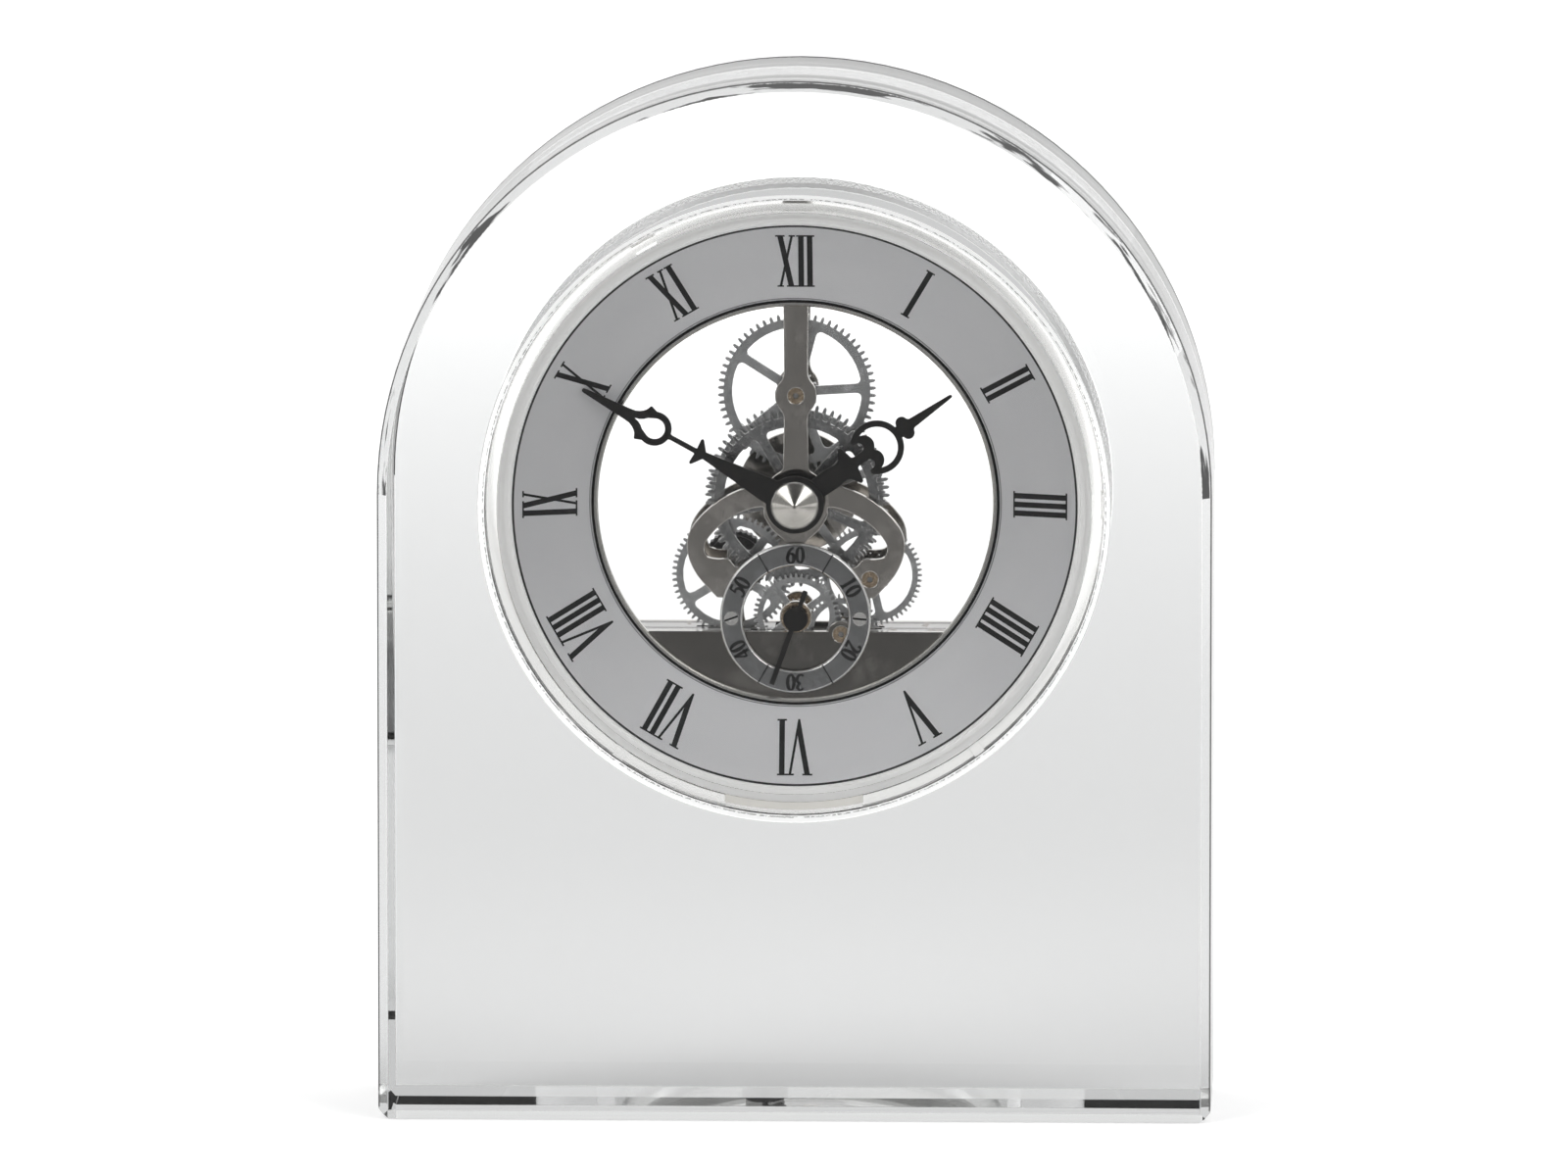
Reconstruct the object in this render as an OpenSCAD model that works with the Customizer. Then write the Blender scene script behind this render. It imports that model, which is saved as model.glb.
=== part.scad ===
// Arched crystal desk clock with a round skeleton quartz movement set into its bore.
// The front faces -Y, the base stands on Z = 0 and X runs to the viewer's right.
// Depths are measured from the block's front face towards the back.

/* [Crystal block] */
// Width of the block, which is also twice the radius of its arch
block_w = 140; // [134:1:156]
// Height of the block at the top of the arch
block_h = 176; // [170:1:190]
// Thickness of the block from front to back
block_t = 40; // [38:0.5:48]
// Polished chamfer along every outer edge
edge_chamfer = 1.7; // [0.8:0.1:2.4]
// Diameter of the bore that takes the movement
bore_d = 104; // [103:0.5:110]
// Height of the bore's axis above the base
axis_z = 104; // [100:0.5:108]
// Ground chamfer at both rims of the bore
bore_chamfer = 0.9; // [0.4:0.1:1.4]

/* [Case of the movement] */
// Wall of the clear tube that lines the bore
tube_wall = 2; // [1.6:0.1:2.6]
// Depth of the lens behind the front face of the block
lens_recess = 1.4; // [0.8:0.1:2]
// Thickness of the front lens
lens_t = 1.6; // [1.2:0.1:2.2]
// Height of the bright bezel ring between lens and dial
bezel_h = 0.9; // [0.7:0.1:1.3]
// Thickness of the rear cover
cover_t = 2; // [1.6:0.1:2.6]
// Width of the finger notch in the front rim of the tube
notch_w = 23; // [12:1:30]

/* [Dial] */
// Diameter of the opening in the dial
dial_open_d = 66.4; // [65:0.2:69]
// How far the dial falls back from its rim to its opening
dial_drop = 4.6; // [3.6:0.1:5]
// Thickness of the dial sheet
dial_t = 0.6; // [0.5:0.1:0.8]
// Width of the polished collar round the opening
collar_w = 2.2; // [1.4:0.1:2.6]

/* [Hands] */
// Length of the minute hand
minute_len = 40.6; // [38:0.2:42]
// Length of the hour hand
hour_len = 32.1; // [30:0.1:32.4]
// Length of the seconds hand from its axis to its tip
seconds_len = 11.7; // [10:0.1:12.2]
// Thickness of the hour and minute hands
hand_t = 0.4; // [0.3:0.05:0.6]
// Minutes after twelve that the hour and minute hands show
shown_minutes = 109.75; // [0:0.25:719.75]
// Seconds that the small hand shows
shown_seconds = 33.3; // [0:0.1:59.9]
// Diameter of the knurled nut on the hands
cap_d = 8.1; // [7:0.1:9]

/* [Plates] */
// Thickness of the front and rear plates
plate_t = 1.4; // [1.2:0.1:1.8]
// Width of the upright bar at its ends
bar_w = 4.2; // [3.9:0.1:4.6]
// Width of the upright bar next to its boss
bar_waist = 4; // [3.6:0.1:4.2]
// Radius of the round boss on the bar
boss_r = 3.5; // [3.2:0.1:3.8]
// Radius of the plate's hub round the hands
hub_r = 5.6; // [5.2:0.1:5.9]
// Radius of the disc in the middle of the rear plate
disc_r = 10.2; // [8:0.1:10.6]
// Height of the top of the movement box below the axis
box_top = 22.1; // [21.9:0.1:22.8]
// Wall of the movement box
box_wall_t = 1; // [0.8:0.1:1.2]

/* [Wheels] */
// Thickness of a wheel's plate
wheel_t = 0.8; // [0.6:0.05:0.9]
// Module of the mesh from the minute pinion to the motion wheel
motion_module = 0.405; // [0.395:0.005:0.41]
// Module of the mesh from the third pinion to the centre wheel
centre_module = 0.433; // [0.429:0.001:0.436]
// Module of the mesh from the fourth pinion to the third wheel
third_module = 0.3; // [0.296:0.002:0.304]
// Module of the wheels on the seconds side
seconds_module = 0.29; // [0.286:0.002:0.294]
// Width of the spokes of the large wheels
spoke_w = 1.5; // [1.1:0.1:1.8]
// Share of the pitch that a tooth and its backlash leave filled
tooth_fill = 0.8; // [0.72:0.02:0.84]

/* [Seconds dial] */
// Outer diameter of the seconds ring
ring_od = 25.4; // [24.8:0.1:25.8]
// Inner diameter of the seconds ring
ring_id = 17.8; // [17:0.1:18.4]
// Thickness of the seconds ring
ring_t = 1; // [0.8:0.1:1.2]

/* [Back] */
// Diameter of the hand-setting knob
knob_d = 11; // [9:0.5:13]
// Length of the knob behind the rear cover
knob_len = 5; // [4:0.5:7]
// Diameter of the button cell
cell_d = 11.6; // [9.5:0.1:12]
// Height of the button cell
cell_h = 5.4; // [4:0.1:5.4]

/* [Hidden] */
$fn = 96;

// Running and seating clearances
fit = 0.1;
run = 0.05;
seat = 0.02;
gap = 0.4;

// Radii from the bore inwards
tube_ro = bore_d / 2 - fit;
tube_ri = tube_ro - tube_wall;
rim_r = tube_ri - fit;
dial_open_r = dial_open_d / 2;
bezel_w = 2.3;
ledge_w = 1.8;
dial_flat_r = rim_r - bezel_w;

// Depths from the lens to the rear cover, each made from the one before it
d_lens = lens_recess;
d_lens_back = d_lens + lens_t;
skirt_h = 0.5;
d_bezel = d_lens_back + skirt_h;
d_dial = d_bezel + bezel_h;
d_ledge = d_dial + dial_t;
cap_cone_h = 1.8;
cap_rim_h = 0.9;
d_cap = d_lens_back + 0.2;
d_minute = d_cap + cap_cone_h + cap_rim_h + 0.1;
d_hour = d_minute + hand_t + 0.6;
d_seconds = d_hour + hand_t + 0.7;
seconds_hand_t = 0.4;
d_ring = d_seconds + seconds_hand_t + 0.5;
spacer_h = 0.7;
d_front = d_ring + ring_t + spacer_h;
d_box = d_front + plate_t;
d_blind = d_front + 0.5;
d_layer1 = d_box + 0.5;
d_layer2 = d_layer1 + wheel_t + 0.7;
d_layer3 = d_layer2 + wheel_t + 1.4;
d_layer4 = d_layer3 + wheel_t + 1.4;
d_stator = d_layer4 + wheel_t + 0.6;
stator_t = 1;
d_base = d_stator + stator_t;
base_t = 2;
d_rear = d_base + base_t;
d_rear_back = d_rear + plate_t;
cover_gap = 3;
d_cover = d_rear_back + cover_gap;
d_cover_back = d_cover + cover_t;
collar_r = dial_open_r + collar_w;

// Teeth on the wheels and pinions; the hour hand turns once for twelve turns of the minute hand
cannon_n = 24;
motion_n = 64;
motion_leaves = 14;
hour_n = 63;
centre_n = 70;
third_leaves = 14;
third_n = 56;
fourth_leaves = 14;
fourth_n = 42;
idler_n = 16;
seconds_leaves = 14;
seconds_n = 48;
step_leaves = 12;
step_n = 60;
rotor_leaves = 8;
setting_leaves = 9;
setting_n = 60;
step_module = 0.14;
setting_module = 0.33;
motion_dist = (cannon_n + motion_n) * motion_module / 2;
hour_module = 2 * motion_dist / (hour_n + motion_leaves);
third_dist = (centre_n + third_leaves) * centre_module / 2;
fourth_dist = (third_n + fourth_leaves) * third_module / 2;
seconds_dist = (fourth_n + seconds_leaves) * seconds_module / 2;
setting_dist = (centre_n + setting_leaves) * centre_module / 2;

// Places of the arbors, seen from the front with the hands' axis at zero
centre = [0, 0];
motion_at = [0, motion_dist];
third_at = polar(third_dist, -46.8);
seconds_at = [0, -19.7];
fourth_at = meet(third_at, fourth_dist, seconds_at, seconds_dist);
idler_at = meet(fourth_at, (fourth_n + idler_n) * seconds_module / 2,
    seconds_at, (idler_n + seconds_leaves) * seconds_module / 2);
setting_at = polar(setting_dist, 230.5);
step_at = seconds_at + polar((seconds_n + step_leaves) * seconds_module / 2, -75);
rotor_at = step_at + polar((step_n + rotor_leaves) * step_module / 2, 180);

// Turned position of each wheel, so that every tooth stands in its partner's gap
centre_turn = 0;
cannon_turn = 0;
motion_turn = meshed(90, cannon_turn, cannon_n, motion_n);
motion_pinion_turn = 0;
hour_turn = meshed(270, motion_pinion_turn, motion_leaves, hour_n);
third_pinion_turn = meshed(bearing(centre, third_at), centre_turn, centre_n, third_leaves);
setting_turn = meshed(bearing(centre, setting_at), centre_turn, centre_n, setting_leaves);
third_turn = 0;
fourth_pinion_turn = meshed(bearing(third_at, fourth_at), third_turn, third_n, fourth_leaves);
fourth_turn = 0;
idler_turn = meshed(bearing(fourth_at, idler_at), fourth_turn, fourth_n, idler_n);
seconds_pinion_turn = meshed(bearing(idler_at, seconds_at), idler_turn, idler_n, seconds_leaves);
seconds_turn = 0;
step_pinion_turn = meshed(bearing(seconds_at, step_at), seconds_turn, seconds_n, step_leaves);
step_turn = 0;
rotor_turn = meshed(bearing(step_at, rotor_at), step_turn, step_n, rotor_leaves);

// Radii of shafts, bushings and hubs
arbor_r = 0.8;
pivot_r = 0.45;
minute_r = 1;
pipe_r = 1.7;
wheel_hub_r = 2.4;
small_bush_r = 1.36;
seconds_bush_r = 2.4;
sleeve_h = 0.9;
centre_bush_r = 2.9;
stud_r = 0.45;
minute_hub_r = 4.86;
hour_hub_r = 4.4;
seconds_hub_r = 2.05;

// Box, pillars, screws and posts
box_ro = rim_r;
box_ri = box_ro - box_wall_t;
pillar_r = 1.6;
pillars_at = [[0, 43], [-36, -29], [36, -29], [0, -43.5]];
posts_at = [[0, 37.6], [-29, -37], [29, -37]];
post_r = 1.6;
screw_r = 1.17;
screw_shank_r = 0.7;
screw_head_h = 0.7;
ring_fix_r = (ring_od + ring_id) / 4;
ring_fixes = [seconds_at + [-ring_fix_r, 0], seconds_at + [ring_fix_r, 0]];
cell_at = [-20, -32];
holder_wall = 0.8;
cell_clear = 0.15;

// Angles of the hands counter-clockwise from three o'clock
minute_angle = 90 - shown_minutes * 6;
hour_angle = 90 - shown_minutes / 2;
seconds_angle = 90 - shown_seconds * 6;

function polar(r, a) = [r * cos(a), r * sin(a)];
function bearing(p, q) = atan2(q[1] - p[1], q[0] - p[0]);
// Point at distance r from p and s from q, to the left of the line from p to q
function meet(p, r, q, s) = let (l = norm(q - p), u = (q - p) / l, a = (r * r - s * s + l * l) / (2 * l))
    p + a * u + sqrt(r * r - a * a) * [-u[1], u[0]];
// Angle of a tooth on a wheel of nb teeth that meshes with na teeth turned by pa, at the bearing t
function meshed(t, pa, na, nb) = t + 180 - (0.5 - (t - pa) * na / 360) * 360 / nb;
function tip_radius(n, m) = n * m / 2 + 0.85 * m;
function root_radius(n, m) = n * m / 2 - (n > 24 ? 1.5 : 1.15) * m;
// Outline of a toothed rim: six points to a tooth, wide at the root and narrow at the tip
function tooth_points(n, m, turn) = let (half = 90 / n * tooth_fill, foot = n > 24 ? 1.2 : 0.95)
    [for (i = [0:n - 1]) for (p = [[root_radius(n, m), -half * foot], [n * m / 2, -half],
        [tip_radius(n, m), -half * 0.4], [tip_radius(n, m), half * 0.4], [n * m / 2, half],
        [root_radius(n, m), half * foot]]) polar(p[0], turn + i * 360 / n + p[1])];
function arc(c, r, a0, a1, n) = [for (i = [0:n]) c + polar(r, a0 + (a1 - a0) * i / n)];
// Window between two spokes, with rounded corners
function window_points(ri, ro, half, w, f) = let (
    ao = half - asin((w / 2 + f) / (ro - f)), ai = half - asin((w / 2 + f) / (ri + f)),
    oc = polar(ro - f, ao), ic = polar(ri + f, ai), side = half + 90)
    concat(arc([0, 0], ro, -ao, ao, 8), arc(oc, f, ao, side, 3), arc(ic, f, side, ai + 180, 3),
        arc([ic[0], -ic[1]], f, 180 - ai, 360 - side, 3), arc([oc[0], -oc[1]], f, -side, -ao, 3));
// Smooth closed curve through the points, with k steps from each to the next
function smooth(p, k) = let (n = len(p)) [for (i = [0:n - 1]) for (j = [0:k - 1])
    let (a = p[(i + n - 1) % n], b = p[i], c = p[(i + 1) % n], d = p[(i + 2) % n], t = j / k)
    0.5 * (2 * b + (c - a) * t + (2 * a - 5 * b + 4 * c - d) * t * t + (3 * b - a - 3 * c + d) * t * t * t)];
function mirrored(p) = [for (i = [len(p) - 1:-1:0]) [-p[i][0], p[i][1]]];
function flipped(p) = [for (i = [len(p) - 1:-1:0]) [p[i][0], -p[i][1]]];

// Places a flat shape, drawn as seen from the front, between two depths
module slab(d0, d1) {
    translate([0, d1 - block_t / 2, axis_z]) rotate([90, 0, 0]) linear_extrude(d1 - d0) children();
}
// Extrudes each child by itself, turned by a about the place p, and joins them
module layer(p, a, d0, d1) {
    for (i = [0:$children - 1]) slab(d0, d1) translate(p) rotate(a) children(i);
}
// Places a revolved profile of radius and depth on the axis at p
module turned(p = [0, 0]) {
    translate([p[0], -block_t / 2, axis_z + p[1]]) rotate([-90, 0, 0]) rotate_extrude() children();
}
module rod(p, r, d0, d1) {
    translate([p[0], d0 - block_t / 2, axis_z + p[1]]) rotate([-90, 0, 0]) cylinder(r = r, h = d1 - d0);
}
module tube_at(p, ro, ri, d0, d1) {
    difference() {
        rod(p, ro, d0, d1);
        rod(p, ri, d0 - 1, d1 + 1);
    }
}

// Spoked wheel with teeth, its bore and a round hub
module wheel(p, n, m, d, turn, spokes, spoke_turn, bore_r, w = spoke_w, rim = 2.4, hub = wheel_hub_r, f = 0.8) {
    slab(d, d + wheel_t) translate(p) difference() {
        polygon(tooth_points(n, m, turn));
        for (i = [0:spokes - 1]) rotate(spoke_turn + (i + 0.5) * 360 / spokes)
            polygon(window_points(hub, tip_radius(n, m) - rim, 180 / spokes, w, f));
        circle(r = bore_r);
    }
}
module pinion(p, n, m, d0, d1, turn, bore_r) {
    slab(d0, d1) translate(p) difference() {
        polygon(tooth_points(n, m, turn));
        circle(r = bore_r);
    }
}
// Shaft between the plates with a thin pivot at each end
module arbor(p, r = arbor_r) {
    rod(p, r, d_box + 0.15, d_rear - 0.15);
    rod(p, pivot_r, d_front + 0.2, d_box + 0.15);
    rod(p, pivot_r, d_rear - 0.15, d_rear_back - 0.2);
}

module crystal_block() {
    r = block_w / 2;
    zc = block_h - r;
    c = edge_chamfer;
    h = block_t / 2;
    color("azure", 0.35) difference() {
        union() {
            intersection() {
                translate([0, -h, zc]) rotate([-90, 0, 0]) rotate_extrude($fn = 180)
                    polygon([[0, 0], [r - c, 0], [r, c], [r, block_t - c], [r - c, block_t], [0, block_t]]);
                translate([-r - 1, -h - 1, zc]) cube([2 * r + 2, block_t + 2, r + 1]);
            }
            intersection() {
                linear_extrude(zc) polygon([[c - r, -h], [r - c, -h], [r, c - h], [r, h - c],
                    [r - c, h], [c - r, h], [-r, h - c], [-r, c - h]]);
                translate([-r, 0, 0]) rotate([90, 0, 90]) linear_extrude(2 * r)
                    polygon([[c - h, 0], [h - c, 0], [h, c], [h, zc], [-h, zc], [-h, c]]);
                translate([0, h, 0]) rotate([90, 0, 0]) linear_extrude(block_t)
                    polygon([[c - r, 0], [r - c, 0], [r, c], [r, zc], [-r, zc], [-r, c]]);
            }
        }
        rod(centre, bore_d / 2, -1, block_t + 1);
        turned() polygon([[0, -1], [bore_d / 2 + bore_chamfer + 1, -1], [bore_d / 2, bore_chamfer], [0, bore_chamfer]]);
        turned() polygon([[0, block_t + 1], [bore_d / 2 + bore_chamfer + 1, block_t + 1],
            [bore_d / 2, block_t - bore_chamfer], [0, block_t - bore_chamfer]]);
    }
}

// Clear tube with the ledge that the dial rests on and notches in its front rim
module case_tube() {
    color("white", 0.4) difference() {
        union() {
            turned() polygon([[tube_ri, bore_chamfer + 0.3], [tube_ro - 0.4, bore_chamfer + 0.3],
                [tube_ro, bore_chamfer + 0.7], [tube_ro, d_cover_back], [tube_ri, d_cover_back]]);
            turned() polygon([[tube_ri - ledge_w, d_ledge], [tube_ri + seat, d_ledge],
                [tube_ri + seat, d_ledge + 2.4], [tube_ri, d_ledge + 2.4], [tube_ri - ledge_w, d_ledge + 1]]);
            for (a = [0, 120, 240]) rotate_about_axis(a)
                translate([tube_ri - 1.2, d_ledge + 2 - block_t / 2, axis_z - 2])
                    cube([1.4, d_front - d_ledge - 2, 4]);
        }
        translate([-notch_w / 2, -block_t / 2, axis_z - tube_ro - 1]) cube([notch_w, d_lens + 0.6, 8]);
        for (a = [235, 307]) rotate_about_axis(a)
            translate([tube_ri - 1, -block_t / 2, axis_z - 1]) cube([4, d_lens + 0.4, 2]);
    }
}
module rotate_about_axis(a) {
    translate([0, 0, axis_z]) rotate([0, -a, 0]) translate([0, 0, -axis_z]) children();
}

module front_lens() {
    color("azure", 0.3) turned() polygon([[0, d_lens], [rim_r - 0.3, d_lens], [rim_r, d_lens + 0.3],
        [rim_r, d_bezel], [rim_r - 1.1, d_bezel], [rim_r - 1.1, d_lens_back], [0, d_lens_back]]);
}
module bezel_ring() {
    color("gainsboro") turned() polygon([[rim_r, d_bezel], [rim_r, d_dial], [rim_r - bezel_w, d_dial],
        [rim_r - bezel_w, d_dial - 0.15], [rim_r - 0.8, d_bezel]]);
}
// Brushed dial that falls back from its flat rim to the opening
module dial_ring() {
    edge = dial_open_r + collar_w / 2;
    color("silver") turned() polygon([[rim_r, d_dial], [dial_flat_r, d_dial], [edge, d_dial + dial_drop],
        [edge, d_dial + dial_drop + dial_t], [dial_flat_r - dial_t / 4, d_ledge], [rim_r, d_ledge]]);
}
// Polished collar that lines the opening and seats on the front plate
module dial_collar() {
    edge = dial_open_r + collar_w / 2;
    d0 = d_dial + dial_drop;
    color("gainsboro") turned() polygon([[dial_open_r, d0 + 0.1], [dial_open_r + 0.25, d0 - 0.15],
        [edge - seat, d0 - 0.15], [edge - seat, d0 + dial_t + seat], [collar_r, d0 + dial_t + seat],
        [collar_r, d_front], [dial_open_r, d_front]]);
}

// Fillet of radius f where a bar of width w runs into a round boss, on the side and end given by sx and sy
module fillet(p, r, w, f, sx, sy) {
    bite = 0.02;
    inside = (r - 5 * bite) / (r + f);
    y = sqrt(pow(r + f - bite, 2) - pow(w / 2 + f, 2));
    translate(p) mirror([sx > 0 ? 0 : 1, 0]) mirror([0, sy > 0 ? 0 : 1]) difference() {
        polygon([[0, 0], inside * [w / 2 + f, y], [w / 2 + bite, y], [0, y]]);
        translate([w / 2 + f, y]) circle(r = f);
    }
}
// Right edge of the upright bar, drawn in a little towards its boss
function bar_edge() = let (a = motion_at[1] - boss_r, b = motion_at[1] + boss_r)
    [[bar_w / 2, 0], [bar_w / 2, a - 7], [bar_waist / 2, a - 1.5], [bar_waist / 2, b + 1.5],
    [bar_w / 2, b + 14], [bar_w / 2, box_ro + 1]];
// Right half of the shield below the hub, and its leaf-shaped window
shield_edge = [[3, 3.2], [5.4, 3.0], [8.4, 2.2], [12.2, 0.5], [15.6, -2.2], [17.9, -5.4], [18.2, -8.8],
    [16.6, -12.6], [13.2, -16.4]];
leaf_window = [[5.7, -1.0], [9.6, -2.1], [13.2, -4.6], [15.3, -7.4], [14.9, -9.4], [13.2, -9.9], [11.3, -9.9],
    [9.8, -11.2], [6.4, -10.2], [2.0, -8.9], [1.5, -7.2], [3.9, -4.9], [5.3, -2.6]];
module plate_body(d0, d1) {
    ring_in = ring_id / 2 + 0.3;
    ring_out = ring_od / 2 - 0.4;
    ear_r = seconds_bush_r + 0.3;
    difference() {
        union() {
            difference() {
                layer(centre, 0, d0, d1) {
                    intersection() {
                        circle(r = box_ro);
                        polygon(concat(mirrored(bar_edge()), bar_edge()));
                    }
                    translate(motion_at) circle(r = boss_r);
                    fillet(motion_at, boss_r, bar_waist, 2.6, 1, 1);
                    fillet(motion_at, boss_r, bar_waist, 2.6, 1, -1);
                    fillet(motion_at, boss_r, bar_waist, 2.6, -1, 1);
                    fillet(motion_at, boss_r, bar_waist, 2.6, -1, -1);
                    circle(r = hub_r);
                    fillet(centre, hub_r, bar_w, 1.4, 1, 1);
                    fillet(centre, hub_r, bar_w, 1.4, -1, 1);
                    polygon(concat(mirrored(open_curve(shield_edge, 5)), open_curve(shield_edge, 5)));
                    translate(seconds_at) circle(r = ring_out);
                }
                layer(centre, 0, d0 - 1, d1 + 1) {
                    polygon(smooth(leaf_window, 4));
                    polygon(smooth(mirrored(leaf_window), 4));
                    translate(seconds_at) circle(r = ring_in);
                }
            }
            layer(centre, 0, d0, d1) {
                intersection() {
                    circle(r = box_ro);
                    translate([-box_ro, -box_ro]) square([2 * box_ro, box_ro - box_top]);
                }
                translate(seconds_at) circle(r = ear_r);
                translate(fourth_at) circle(r = small_bush_r + 0.9);
            }
        }
        for (p = [motion_at, third_at, fourth_at]) rod(p, small_bush_r + seat, d0 - 1, d1 + 1);
        rod(seconds_at, seconds_bush_r + seat, d0 - 1, d1 + 1);
        rod(centre, centre_bush_r + seat, d0 - 1, d1 + 1);
        for (p = pillars_at) rod(p, screw_shank_r + seat, d0 - 1, d1 + 1);
    }
}
// Smooth open curve through the points
function open_curve(p, k) = let (n = len(p)) concat([for (i = [0:n - 2]) for (j = [0:k - 1])
    let (a = p[max(i - 1, 0)], b = p[i], c = p[i + 1], d = p[min(i + 2, n - 1)], t = j / k)
    0.5 * (2 * b + (c - a) * t + (2 * a - 5 * b + 4 * c - d) * t * t + (3 * b - a - 3 * c + d) * t * t * t)],
    [p[n - 1]]);

module front_plate() {
    color("dimgray") difference() {
        plate_body(d_front, d_box);
        for (p = ring_fixes) rod(p, screw_shank_r + seat, d_front - 1, d_box + 1);
        rod(setting_at, pivot_r + run, d_blind, d_box + 1);
    }
}
module rear_plate() {
    color("gray") difference() {
        union() {
            plate_body(d_rear, d_rear_back);
            tube_at(centre, disc_r, centre_bush_r + seat, d_rear, d_rear_back);
        }
        rod(setting_at, small_bush_r + seat, d_rear - 1, d_rear_back + 1);
        rod(cell_at, cell_d / 2 + cell_clear, d_rear - 1, d_rear_back + 1);
    }
}
// D-shaped wall between the plates, slotted where wheels and pinions pass through its top
module movement_box() {
    color("silver") difference() {
        slab(d_box, d_rear) difference() {
            intersection() {
                circle(r = box_ro);
                translate([-box_ro, -box_ro]) square([2 * box_ro, box_ro - box_top]);
            }
            intersection() {
                circle(r = box_ri);
                translate([-box_ro, -box_ro]) square([2 * box_ro, box_ro - box_top - box_wall_t]);
            }
        }
        wheel_slot(seconds_at[0], tip_radius(seconds_n, seconds_module), d_box - 1, d_layer1 + wheel_t);
        wheel_slot(fourth_at[0], tip_radius(fourth_n, seconds_module), d_layer2, d_layer2 + wheel_t);
        wheel_slot(idler_at[0], tip_radius(idler_n, seconds_module), d_layer2 - 0.2, d_base + 1);
        wheel_slot(third_at[0], dip(third_at, tip_radius(third_n, third_module)), d_layer3, d_layer3 + wheel_t);
        wheel_slot(setting_at[0], dip(setting_at, tip_radius(setting_n, setting_module)), d_layer3, d_layer3 + wheel_t);
        top_slot(seconds_at[0] - tip_radius(seconds_leaves, seconds_module) - gap,
            fourth_at[0] + tip_radius(fourth_leaves, third_module) + gap, d_box - 1, d_rear + 1);
        for (p = pillars_at) rod(p, pillar_r + fit, d_box - 1, d_rear + 1);
    }
}
// Cuts through the top wall of the box: from x0 to x1, and round a wheel of radius r at x
module top_slot(x0, x1, d0, d1) {
    translate([x0, d0 - block_t / 2, axis_z - box_top - box_wall_t - 0.5]) cube([x1 - x0, d1 - d0, box_wall_t + 1]);
}
// Half the width that a wheel of radius r at p takes up at the top of the box
function dip(p, r) = sqrt(max(r * r - pow(p[1] + box_top - gap, 2), 1));
module wheel_slot(x, r, d0, d1) {
    top_slot(x - r - gap, x + r + gap, d0 - gap, d1 + gap);
}

module plate_pillars() {
    color("silver") for (p = pillars_at) difference() {
        union() {
            rod(p, pillar_r, d_box, d_rear);
            rod(p, screw_shank_r, d_front + 0.1, d_box + 0.1);
        }
        rod(p, screw_shank_r, d_rear - 2.5, d_rear + 1);
    }
}
// Cheese-head screw with its slot turned by a, head towards the front when dir is -1
module slotted_screw(p, d, a, dir, shank) {
    difference() {
        union() {
            rod(p, screw_r, dir < 0 ? d - screw_head_h : d, dir < 0 ? d : d + screw_head_h);
            rod(p, screw_shank_r - run, dir < 0 ? d : d - shank, dir < 0 ? d + shank : d);
        }
        translate([p[0], (dir < 0 ? d - screw_head_h : d + screw_head_h) - block_t / 2, axis_z + p[1]])
            rotate([0, -a, 0]) cube([3, 0.7, 0.36], center = true);
    }
}
module rear_screws() {
    color("silver") for (i = [0:len(pillars_at) - 1])
        slotted_screw(pillars_at[i], d_rear_back, 35 + 50 * i, 1, plate_t + 2.2);
}

// Brass bushings pressed into a plate, with a blind or open hole for each pivot
module bushing(p, r, hole, d0) {
    difference() {
        rod(p, r, d0, d0 + plate_t);
        rod(p, hole, d0 - 1, d0 + plate_t + 1);
    }
}
module front_bushings() {
    color("peru") {
        for (p = [motion_at, third_at, fourth_at]) bushing(p, small_bush_r, pivot_r + run, d_front);
        difference() {
            tube_at(seconds_at, seconds_bush_r, pivot_r + run, d_front - sleeve_h, d_box);
            rod(seconds_at, seconds_bush_r - 0.25, d_front - sleeve_h - 1, d_front);
        }
        bushing(centre, centre_bush_r, pipe_r + run, d_front);
    }
}
module rear_bushings() {
    color("peru") {
        for (p = [motion_at, third_at, fourth_at]) bushing(p, small_bush_r, pivot_r + run, d_rear);
        bushing(setting_at, small_bush_r, arbor_r + run, d_rear);
        bushing(seconds_at, seconds_bush_r, pivot_r + run, d_rear);
        bushing(centre, centre_bush_r, pivot_r + run, d_rear);
    }
}

// Minute arbor with the wheel and pinion that turn with it
module minute_arbor() {
    color("silver") {
        rod(centre, minute_r, d_minute - 1.2, d_rear - 0.15);
        rod(centre, pivot_r, d_rear - 0.15, d_rear_back - 0.2);
    }
}
module centre_wheel() {
    color("silver") wheel(centre, centre_n, centre_module, d_layer4, centre_turn, 5, 18, minute_r + seat, rim = 2.7);
}
module cannon_pinion() {
    color("lightgray") pinion(centre, cannon_n, motion_module, d_layer3 - 0.2, d_layer4 - seat, cannon_turn, minute_r + seat);
}
module cap_nut() {
    r = cap_d / 2;
    hole = minute_r + seat;
    color("gainsboro") {
        slab(d_minute - cap_rim_h, d_minute) difference() {
            polygon([for (i = [0:111]) polar(i % 2 == 0 ? r : r - 0.16, i * 360 / 112)]);
            circle(r = hole);
        }
        difference() {
            turned() polygon([[0, d_cap], [0.3, d_cap], [r - 0.3, d_minute - cap_rim_h - 0.1],
                [r - 0.3, d_minute - cap_rim_h], [0, d_minute - cap_rim_h]]);
            rod(centre, hole, d_minute - 1.3, d_minute);
        }
    }
}

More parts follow.
